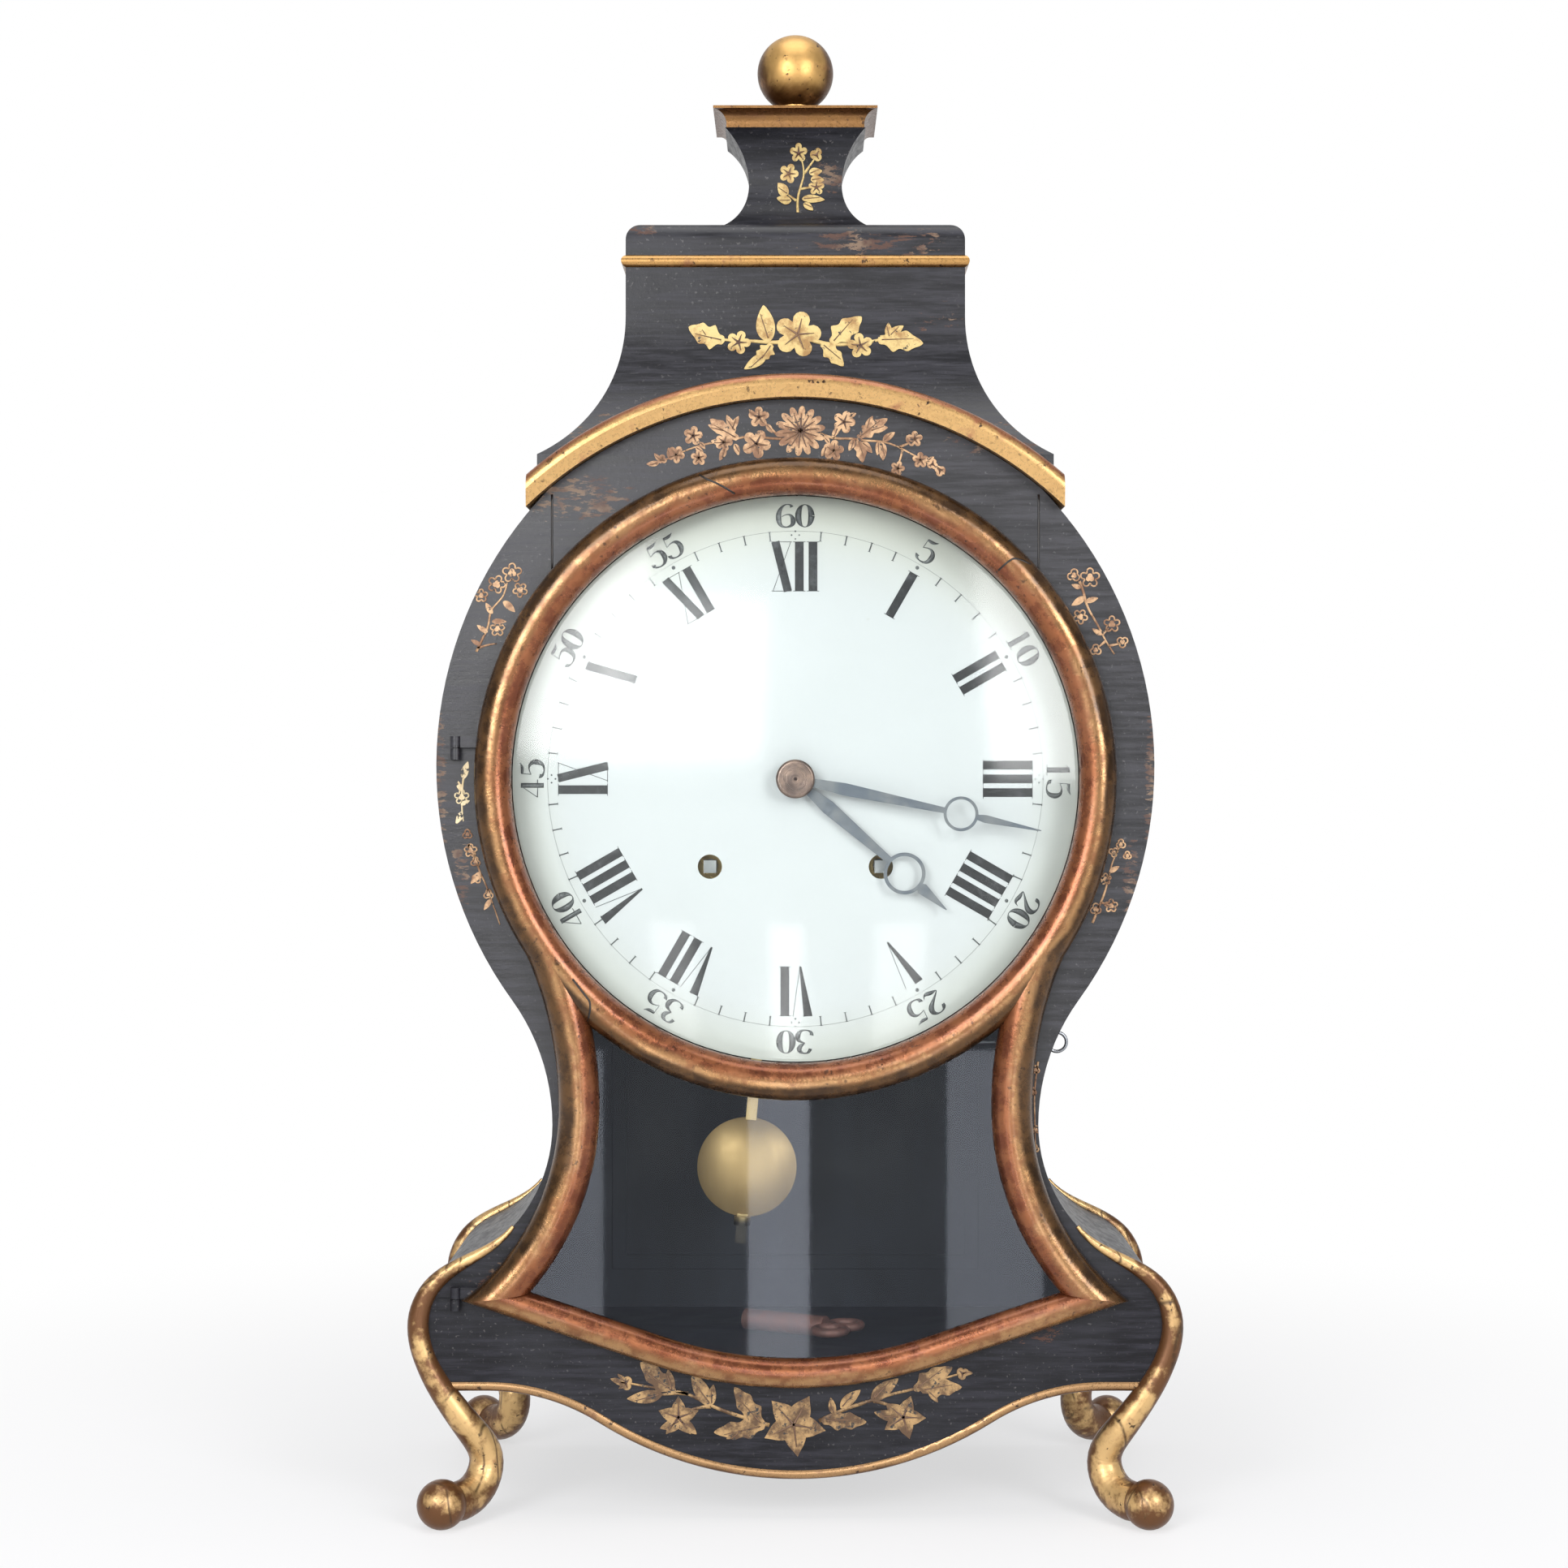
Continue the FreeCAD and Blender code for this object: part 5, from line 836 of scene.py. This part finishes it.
def rear_stops():
    left, right, low, high = OPENING
    unpick()
    bpy.ops.mesh.primitive_plane_add(size=1, location=((left + right) / 2, BACK_INNER, (low + high) / 2),
                                     rotation=(math.pi / 2, 0, 0))
    stops = bpy.context.object
    stops.scale = (right - left + STOP_WIDE, high - low + STOP_WIDE, 1)
    settle(stops)
    open_mesh(stops)
    bpy.ops.mesh.inset(thickness=STOP_WIDE, use_even_offset=True)
    bpy.ops.mesh.delete(type="FACE")
    bpy.ops.mesh.select_all(action="SELECT")
    bpy.ops.mesh.extrude_region_move(TRANSFORM_OT_translate={"value": (0, -STOP_THICK, 0)})
    bpy.ops.mesh.select_all(action="SELECT")
    bpy.ops.mesh.normals_make_consistent(inside=False)
    close_mesh()
    stops.name = "rear_door_stops"
    round_off = stops.modifiers.new("edge", "BEVEL")
    round_off.width = STOP_EDGE
    round_off.segments = 2
    apply_all(stops)
    dress(stops, BOARD)
    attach(stops, "case")


rear_stops()


# Gilt sprays

def petal_edge(angle, petals, notch, sharp):
    """Radius of a flower's edge: round petals, or pointed ones when sharp."""
    off = abs((angle * petals / (2 * math.pi) + 0.5) % 1 - 0.5) * 2
    return 1 - notch * (off ** 0.65 if sharp else 1 - math.cos(off * math.pi / 2) ** 0.7)


def blossom(petals, notch, name, sharp=False):
    """A flat flower of one unit radius, one petal up."""
    unpick()
    bpy.ops.mesh.primitive_circle_add(vertices=petals * 8, radius=1, fill_type="TRIFAN")
    obj = bpy.context.object
    obj.name = name
    for v in obj.data.vertices:
        if v.co.length > 0.1:
            v.co *= petal_edge(math.atan2(v.co.x, v.co.y), petals, notch, sharp)
    open_mesh(obj)
    bpy.ops.mesh.subdivide(number_cuts=2)
    close_mesh()
    obj.data.transform(Matrix.Rotation(math.pi / 2, 4, "X"))
    return obj


def leaf_edge(t, wide, lobes):
    """Half width of a leaf at a share of its length."""
    body = math.sin(math.pi * t ** 0.8) ** 0.8
    tooth = 1 - 0.5 * abs(math.sin(math.pi * lobes * t)) ** 1.5 * (1.15 - t) if lobes else 1
    return wide * (0.04 + body * tooth)


def leaf(lobes, wide, name):
    """A flat leaf one unit long, root at the origin, tip up."""
    unpick()
    bpy.ops.mesh.primitive_grid_add(x_subdivisions=6, y_subdivisions=24, size=1)
    obj = bpy.context.object
    obj.name = name
    for v in obj.data.vertices:
        t = v.co.y + 0.5
        v.co = (v.co.x * 2 * leaf_edge(t, wide, lobes) + 0.12 * t * t, t, 0)
    obj.data.transform(Matrix.Rotation(math.pi / 2, 4, "X"))
    return obj


LEAVES = ("leaf", "lobed")
RAYS = {"flower": 5, "daisy": 14, "star": 5, "bud": 3}
# A vein's points: share of the petal's or leaf's length, and half width in metres.
RAY = ((0.0, 0.000528), (0.3, 0.000352), (0.7, 0.00011))
RIB = ((0.1, 0.00024), (0.45, 0.0002), (0.8, 0.0001))
VEIN_LIFT = 0.00056
VEIN_THICK = 0.00008
# An outlined spray: half width of a flower's stroke, how deep it is drawn in between the petals,
# the size of its middle, the width of a leaf, and how high middle and leaf lie in the coat.
OUTLINE = 0.00034
OUTLINE_NOTCH = 0.5
EYE = 0.45
THIN_LEAF = 0.9
EYE_RISE = 0.4
LEAF_RISE = 0.3
# A stem's width at its root, and what it loses to its tip.
STEM_ROOT = 1.15
STEM_TAPER = 0.6
MASTERS = {
    "flower": blossom(5, 0.42, "flower_master"),
    "daisy": blossom(14, 0.38, "daisy_master"),
    "star": blossom(5, 0.45, "star_master", True),
    "bud": blossom(3, 0.35, "bud_master"),
    "leaf": leaf(0, 0.2, "leaf_master"),
    "lobed": leaf(3, 0.30, "lobed_master"),
}


def sprig(kind, x, z, size, turn, squeeze, rise):
    """A copy of a master at a place, turned clockwise in degrees; rise keeps it clear of its neighbours."""
    obj = MASTERS[kind].copy()
    obj.data = MASTERS[kind].data.copy()
    bpy.context.scene.collection.objects.link(obj)
    grow = Matrix.Diagonal((size * squeeze, 1, size, 1))
    spin = Matrix.Rotation(math.radians(turn), 4, "Y")
    obj.data.transform(Matrix.Translation((x, DRAWN_AT, z)) @ spin @ grow)
    obj.vertex_groups.new(name="rise").add(range(len(obj.data.vertices)), rise, "REPLACE")
    return obj


def drawn(kind, x, z, size, turn):
    """The outline of a flower in a thin stroke."""
    c, n = math.cos(math.radians(turn)), math.sin(math.radians(turn))
    points = RAYS[kind] * 6
    edge = []
    for k in range(points):
        a = 2 * math.pi * k / points
        r = size * petal_edge(a, RAYS[kind], OUTLINE_NOTCH, False)
        u, w = r * math.sin(a), r * math.cos(a)
        edge.append((x + u * c + w * n, z + w * c - u * n, OUTLINE))
    return stroke(edge, True)


def vein(x, z, size, turn, points):
    """A stroke from the middle of a flower, or the root of a leaf, towards a tip."""
    a = math.radians(turn)
    return stroke([(x + math.sin(a) * size * t, z + math.cos(a) * size * t, half) for t, half in points])


def spray(name, node, body, finish, back, stem_half, items, stems, outlined=False):
    """One painted spray, placed by the photograph's pixels.

    A leaf is (kind, root, tip, squeeze or nothing), a flower (kind, middle, radius, turn in degrees)
    and a stem a run of places. An outlined spray has its flowers drawn in thin strokes and no veins.
    """
    shapes = []
    marks = []
    for order, (kind, at, *rest) in enumerate(items):
        x, z = place(*at, back)
        squeeze = 1.0
        if kind in LEAVES:
            tip, squeeze = (*rest, squeeze)[:2]
            tx, tz = place(*tip, back)
            size = math.hypot(tx - x, tz - z)
            turn = math.degrees(math.atan2(tx - x, tz - z))
        else:
            size, turn = rest[0] * pixel_size(back), rest[1]
        if outlined and kind in LEAVES:
            shapes.append(sprig(kind, x, z, size, turn, squeeze * THIN_LEAF, LEAF_RISE))
        elif outlined:
            shapes.append(drawn(kind, x, z, size, turn))
            shapes.append(sprig("bud", x, z, size * EYE, turn, 1, EYE_RISE))
        else:
            shapes.append(sprig(kind, x, z, size, turn, squeeze, (1 + order) / (1 + len(items))))
            if kind in LEAVES:
                marks.append(vein(x, z, size, turn, RIB))
            else:
                for r in range(RAYS[kind]):
                    marks.append(vein(x, z, size, turn + 360 * r / RAYS[kind], RAY))
    for run in stems:
        pts = [place(px, py, back) for px, py in run]
        n = len(pts) - 1
        half = stem_half / 1000
        shapes.append(stroke([(x, z, half * (STEM_ROOT - STEM_TAPER * i / n)) for i, (x, z) in enumerate(pts)]))
    piece = dress(weld(shapes, name), finish)
    press(piece, node)
    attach(piece, body)
    if marks:
        lines = dress(weld(marks, name + "_veins"), VEIN)
        press(lines, node, VEIN_LIFT, VEIN_THICK)
        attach(lines, body)


spray("crown_spray", "crown_hood", "crown", PALE_GOLD, CROWN_BACK, 0.9, [
    ("flower", (983, 412), 29, 14), ("flower", (910, 422), 15, 20), ("flower", (1060, 426), 16, -10),
    ("lobed", (893, 420), (847, 409), 1.1), ("leaf", (948, 421), (934, 378), 1.25),
    ("lobed", (951, 424), (936, 447), 1.3), ("leaf", (944, 436), (920, 459)),
    ("lobed", (1024, 424), (1057, 386)), ("lobed", (1012, 423), (1042, 449), 0.9),
    ("lobed", (1081, 419), (1137, 417), 0.9), ("leaf", (1096, 416), (1092, 398), 1.2),
    ("leaf", (1096, 414), (1111, 399), 1.2), ("leaf", (870, 414), (864, 404), 1.4),
], [
    [(983, 414), (965, 422), (947, 422), (925, 420), (895, 420), (870, 414)],
    [(985, 414), (1008, 422), (1028, 425), (1050, 424), (1075, 421), (1100, 415)],
])

spray("arch_spray", "front_arch_board", "case", COPPER_GOLD, 0, 0.5, [
    ("daisy", (986, 531), 31, 5), ("flower", (935, 514), 13, 0), ("leaf", (944, 523), (953, 532), 1.3),
    ("leaf", (930, 512), (922, 506), 1.4), ("flower", (932, 547), 18, 25),
    ("lobed", (910, 541), (873, 520), 0.8), ("leaf", (906, 532), (893, 513)),
    ("leaf", (902, 530), (908, 512)), ("leaf", (893, 531), (872, 526)),
    ("leaf", (896, 545), (876, 546), 1.1), ("flower", (892, 545), 11, 20),
    ("leaf", (893, 552), (889, 568), 1.2), ("leaf", (905, 547), (912, 560), 1.2),
    ("flower", (854, 537), 12, 10), ("leaf", (862, 545), (870, 552), 1.3), ("flower", (861, 564), 10, 0),
    ("leaf", (857, 551), (868, 558), 1.2), ("flower", (833, 560), 11, 30),
    ("leaf", (826, 565), (822, 552), 1.1), ("leaf", (815, 568), (805, 560), 1.1),
    ("leaf", (812, 570), (797, 574), 1.1), ("bud", (816, 566), 6, 0), ("flower", (1040, 520), 14, 20),
    ("leaf", (1046, 514), (1054, 508), 1.4), ("leaf", (1032, 527), (1027, 540), 1.2),
    ("flower", (1027, 555), 13, 10), ("leaf", (1018, 550), (1014, 563), 1.2),
    ("leaf", (1022, 546), (1015, 538), 1.3), ("lobed", (1057, 541), (1066, 569), 0.9),
    ("leaf", (1052, 541), (1048, 556), 1.2), ("lobed", (1056, 541), (1091, 513), 0.7),
    ("leaf", (1068, 529), (1073, 512), 1.1), ("leaf", (1072, 531), (1093, 524), 1.1),
    ("leaf", (1062, 545), (1076, 556), 1.2), ("leaf", (1086, 545), (1091, 567), 1.1),
    ("leaf", (1088, 544), (1101, 531), 1.1), ("leaf", (1082, 544), (1083, 561)),
    ("flower", (1127, 541), 10, 0), ("leaf", (1120, 546), (1116, 537), 1.3), ("flower", (1106, 577), 9, 20),
    ("flower", (1134, 567), 10, 0), ("bud", (1149, 572), 7, 10), ("bud", (1158, 580), 7, 70),
    ("leaf", (1143, 568), (1150, 562), 1.3), ("leaf", (1154, 575), (1165, 583), 1.2),
], [
    [(965, 541), (945, 540), (925, 537), (905, 541), (880, 545), (862, 549), (842, 556), (822, 566),
     (800, 574)],
    [(958, 536), (948, 526), (938, 517)],
    [(1010, 534), (1026, 541), (1048, 540), (1066, 543), (1090, 544), (1108, 551), (1124, 560),
     (1142, 569), (1165, 582)],
    [(1108, 551), (1118, 547), (1127, 543)],
    [(1012, 536), (1022, 546), (1028, 553)],
    [(1026, 540), (1034, 530), (1039, 523)],
    [(1112, 553), (1110, 565), (1106, 574)],
])

spray("apron_spray", "front_apron", "case", OLIVE_GOLD, 0, 0.75, [
    ("star", (978, 1755), 40, 173), ("lobed", (941, 1757), (901, 1713), 0.75),
    ("lobed", (943, 1756), (881, 1770), 0.7), ("leaf", (916, 1761), (897, 1775)),
    ("leaf", (877, 1732), (848, 1694), 0.95), ("leaf", (877, 1731), (876, 1706)),
    ("star", (836, 1746), 26, 0), ("leaf", (838, 1750), (815, 1763), 1.1),
    ("leaf", (838, 1750), (860, 1764), 1.1), ("lobed", (832, 1716), (786, 1683), 0.8),
    ("leaf", (829, 1714), (820, 1688)), ("leaf", (816, 1717), (774, 1728), 0.9),
    ("bud", (771, 1704), 9, 280), ("leaf", (772, 1704), (752, 1701)), ("leaf", (772, 1703), (760, 1694)),
    ("leaf", (772, 1705), (763, 1712)), ("lobed", (1012, 1751), (1067, 1747), 0.75),
    ("leaf", (1036, 1735), (1057, 1710)), ("leaf", (1028, 1742), (1021, 1723), 1.1),
    ("leaf", (1074, 1726), (1103, 1695)), ("leaf", (1076, 1725), (1081, 1709), 1.1),
    ("star", (1113, 1746), 28, 20), ("leaf", (1110, 1746), (1077, 1744)),
    ("lobed", (1126, 1713), (1170, 1680), 0.8), ("lobed", (1134, 1713), (1184, 1704), 0.8),
    ("leaf", (1144, 1714), (1157, 1726)), ("bud", (1186, 1692), 8, 70),
    ("leaf", (1185, 1692), (1199, 1690)),
], [
    [(948, 1756), (922, 1748), (890, 1738), (868, 1728), (848, 1717), (822, 1712), (795, 1708),
     (774, 1704)],
    [(876, 1733), (862, 1733), (848, 1738)],
    [(848, 1717), (830, 1716), (812, 1719)],
    [(1009, 1751), (1037, 1737), (1072, 1726), (1100, 1717), (1125, 1712), (1160, 1699), (1184, 1692)],
    [(1076, 1726), (1095, 1729), (1106, 1738)],
])

spray("neck_spray", "crown_neck", "crown", PALE_GOLD, NECK_BACK, 0.55, [
    ("flower", (984, 188), 11, 0), ("flower", (972, 212), 12, 20), ("bud", (1006, 190), 8, 30),
    ("flower", (1006, 229), 10, 0), ("leaf", (997, 212), (1012, 206), 1.5),
    ("leaf", (999, 220), (1015, 217), 1.5), ("leaf", (971, 238), (956, 227), 1.8),
    ("leaf", (975, 246), (957, 246), 1.5), ("leaf", (988, 244), (1016, 242), 0.9),
    ("leaf", (990, 250), (1003, 257), 1.4),
], [
    [(983, 262), (982, 246), (986, 229), (992, 211), (988, 196)],
    [(981, 246), (971, 238)],
    [(986, 231), (996, 229), (1004, 229)],
    [(991, 212), (1000, 200), (1005, 193)],
])

spray("left_stile_spray", "front_stile_left", "case", COPPER_GOLD, 0, 0.5, [
    ("flower", (631, 706), 12, 0), ("flower", (612, 720), 11, 20), ("flower", (641, 727), 9, 40),
    ("flower", (593, 734), 8, 0), ("leaf", (620, 741), (636, 752), 1.2),
    ("leaf", (607, 756), (597, 744), 1.2), ("flower", (613, 775), 9, 0),
    ("leaf", (601, 779), (587, 772), 1.1), ("leaf", (592, 794), (580, 790), 1.2),
    ("leaf", (606, 766), (624, 764)),
], [
    [(587, 803), (594, 788), (602, 772), (604, 752), (614, 742), (622, 732), (625, 718)],
    [(588, 799), (600, 794), (612, 793)],
], outlined=True)

spray("left_lower_spray", "front_stile_left", "case", CREAM, 0, 0.45, [
    ("leaf", (571, 960), (574, 938), 1.1), ("leaf", (570, 975), (561, 962), 1.1),
    ("flower", (569, 982), 9, 0), ("leaf", (568, 992), (578, 985), 1.2),
    ("leaf", (569, 1000), (564, 1016), 1.2),
], [
    [(573, 945), (569, 970), (569, 1000), (571, 1012)],
], outlined=True)

spray("left_waist_spray", "front_stile_left", "case", COPPER_GOLD, 0, 0.45, [
    ("flower", (580, 1048), 8, 0), ("bud", (586, 1062), 6, 0), ("bud", (588, 1082), 6, 40),
    ("leaf", (592, 1074), (582, 1090), 1.1), ("bud", (602, 1102), 6, 0),
    ("leaf", (604, 1108), (598, 1122), 1.1), ("bud", (576, 1028), 6, 0),
], [
    [(577, 1040), (586, 1056), (590, 1072), (598, 1088), (606, 1110), (616, 1139)],
], outlined=True)

spray("right_stile_spray", "front_stile_right", "case", COPPER_GOLD, 0, 0.55, [
    ("flower", (1343, 712), 12, 0), ("bud", (1323, 709), 8, 10), ("flower", (1331, 760), 9, 30),
    ("flower", (1370, 769), 10, 0), ("bud", (1350, 801), 7, 0), ("bud", (1383, 791), 7, 60),
    ("leaf", (1336, 735), (1322, 748), 1.2), ("leaf", (1338, 742), (1352, 735), 1.2),
    ("leaf", (1332, 724), (1320, 722), 1.3), ("leaf", (1358, 782), (1345, 776), 1.1),
], [
    [(1330, 716), (1335, 728), (1339, 748), (1354, 772), (1362, 790), (1373, 806)],
    [(1358, 782), (1366, 774)],
    [(1362, 790), (1354, 797)],
    [(1366, 796), (1380, 793)],
], outlined=True)

spray("right_lower_spray", "front_stile_right", "case", COPPER_GOLD, 0, 0.5, [
    ("bud", (1381, 1040), 6, 0), ("bud", (1372, 1050), 6, 50), ("bud", (1389, 1054), 5, 0),
    ("flower", (1362, 1083), 7, 0), ("flower", (1369, 1116), 8, 0), ("bud", (1350, 1120), 7, 0),
    ("leaf", (1367, 1075), (1378, 1066), 1.2),
], [
    [(1346, 1137), (1353, 1120), (1362, 1098), (1367, 1076), (1371, 1060), (1380, 1042)],
    [(1357, 1112), (1367, 1115)],
], outlined=True)

spray("right_waist_spray", "front_stile_right", "case", COPPER_GOLD, 0, 0.4, [
    ("bud", (1276, 1318), 5, 0), ("bud", (1272, 1345), 5, 0), ("bud", (1277, 1392), 5, 0),
    ("bud", (1275, 1415), 5, 0),
], [
    [(1279, 1308), (1274, 1340), (1275, 1380), (1276, 1424)],
], outlined=True)

for master in MASTERS.values():
    bpy.data.objects.remove(master)


# Open seams of the case boards and cracks in the door's ring: runs of pixels and half widths in millimetres

SEAM_COAT = 0.00005
BOARD_SEAMS = [
    [(680.2, 600), (680.2, 650), (680.2, 702)],
    [(1279.8, 600), (1279.8, 650), (1279.8, 708)],
]
RING_CRACKS = [
    [(846, 572), (866, 592), (884, 598), (906, 611)],
    [(1226, 707), (1240, 693), (1251, 689), (1268, 697)],
    [(708, 1204), (722, 1222), (733, 1236), (724, 1262)],
    [(1262, 1222), (1250, 1238), (1258, 1256)],
]


def open_seams(name, node, body, runs, half):
    lines = []
    for run in runs:
        pts = [place(px, py) for px, py in run]
        lines.append(stroke([(x, z, half / 1000) for x, z in pts]))
    piece = dress(weld(lines, name), SEAM)
    press(piece, node, SEAM_COAT, SEAM_COAT)
    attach(piece, body)


open_seams("board_seams", "front_arch_board", "case", BOARD_SEAMS, 0.48)
open_seams("ring_cracks", "door_ring", "front_door", RING_CRACKS, 0.42)


# Studio: pale floor, white surround, soft lamps

FLOOR_TONE = (0.76, 0.755, 0.77)
FLOOR_WIDE = 6
WHITE_FROM = 0.12    # the floor fades into white between these distances from the clock, in metres,
WHITE_AT = 0.75      # from this least share of white
WHITE_LEAST = 0.6
ROOM_TONE = (0.96, 0.97, 1)
ROOM_LIGHT = 0.36


def studio_floor():
    unpick()
    bpy.ops.mesh.primitive_circle_add(vertices=96, radius=FLOOR_WIDE, fill_type="NGON", location=(0, 0, 0))
    floor = bpy.context.object
    floor.name = "studio_floor"
    f = Finish("pale_floor")
    f.set(Base_Color=FLOOR_TONE, Roughness=0.6)
    f.set(Specular_IOR_Level=0.2)
    glow = f.add("ShaderNodeEmission")
    glow.inputs["Color"].default_value = (1, 1, 1, 1)
    far_off = f.step(f.vector("LENGTH", f.where), WHITE_FROM, WHITE_AT, WHITE_LEAST, 1)
    seen = f.add("ShaderNodeLightPath")
    shown = f.most(seen.outputs["Is Camera Ray"], seen.outputs["Is Glossy Ray"])
    shown = f.most(shown, seen.outputs["Is Transmission Ray"])
    f.mix(f.times(far_off, shown), f.skin, glow, f.out)
    dress(floor, f.mat)


def studio_room():
    """A dim room that shows as white behind the clock, and so in faces that mirror what lies behind."""
    world = bpy.data.worlds.new("studio")
    world.use_nodes = True
    bpy.context.scene.world = world
    n = Nodes(world.node_tree)
    out = n.add("ShaderNodeOutputWorld")
    white = n.add("ShaderNodeBackground")
    room = n.add("ShaderNodeBackground")
    white.inputs["Color"].default_value = (1, 1, 1, 1)
    white.inputs["Strength"].default_value = 1
    room.inputs["Color"].default_value = (*ROOM_TONE, 1)
    room.inputs["Strength"].default_value = ROOM_LIGHT
    path = n.add("ShaderNodeLightPath").outputs
    apart = n.add("ShaderNodeSeparateXYZ")
    n.link(n.add("ShaderNodeTexCoord").outputs["Generated"], apart.inputs[0])
    behind = n.step(apart.outputs["Y"], 0.2, 0.8, kind="LINEAR")
    shown = n.times(path["Is Glossy Ray"], behind)
    shown = n.most(n.most(shown, path["Is Camera Ray"]), path["Is Transmission Ray"])
    n.mix(shown, room, white, out)


def lamp(name, at, towards, wide, tall, power):
    light = bpy.data.lights.new(name, "AREA")
    light.shape = "RECTANGLE"
    light.size = wide
    light.size_y = tall
    light.energy = power
    obj = bpy.data.objects.new(name, light)
    obj.location = at
    obj.rotation_euler = (Vector(towards) - Vector(at)).to_track_quat("-Z", "Y").to_euler()
    bpy.context.scene.collection.objects.link(obj)
    return obj


studio_floor()
studio_room()
lamp("left_softbox", (-0.95, -1.75, 1.0), (0, 0, 0.34), 0.7, 1.2, 26)
lamp("right_softbox", (1.05, -1.65, 0.9), (0, 0, 0.34), 0.7, 1.2, 26)
lamp("near_softbox", (-0.42, -1.75, 0.70), (0, 0, 0.34), 0.62, 0.62, 7)
lamp("top_softbox", (0.0, -0.2, 1.9), (0, 0, 0.4), 1.2, 1.2, 14)

# Low strips that the lower pane mirrors: side, place across, width, watts.
STRIPS = (("left", -0.126, 0.044, 0.08), ("middle", -0.009, 0.033, 0.09), ("right", 0.108, 0.052, 0.1))
STRIP_AHEAD = -0.375
STRIP_HEIGHT = 0.095
STRIP_TALL = 0.17
for side, across, wide, power in STRIPS:
    strip = lamp(side + "_strip", (across, STRIP_AHEAD, STRIP_HEIGHT), (across, 0, STRIP_HEIGHT),
                 wide, STRIP_TALL, power)
    strip.visible_diffuse = False
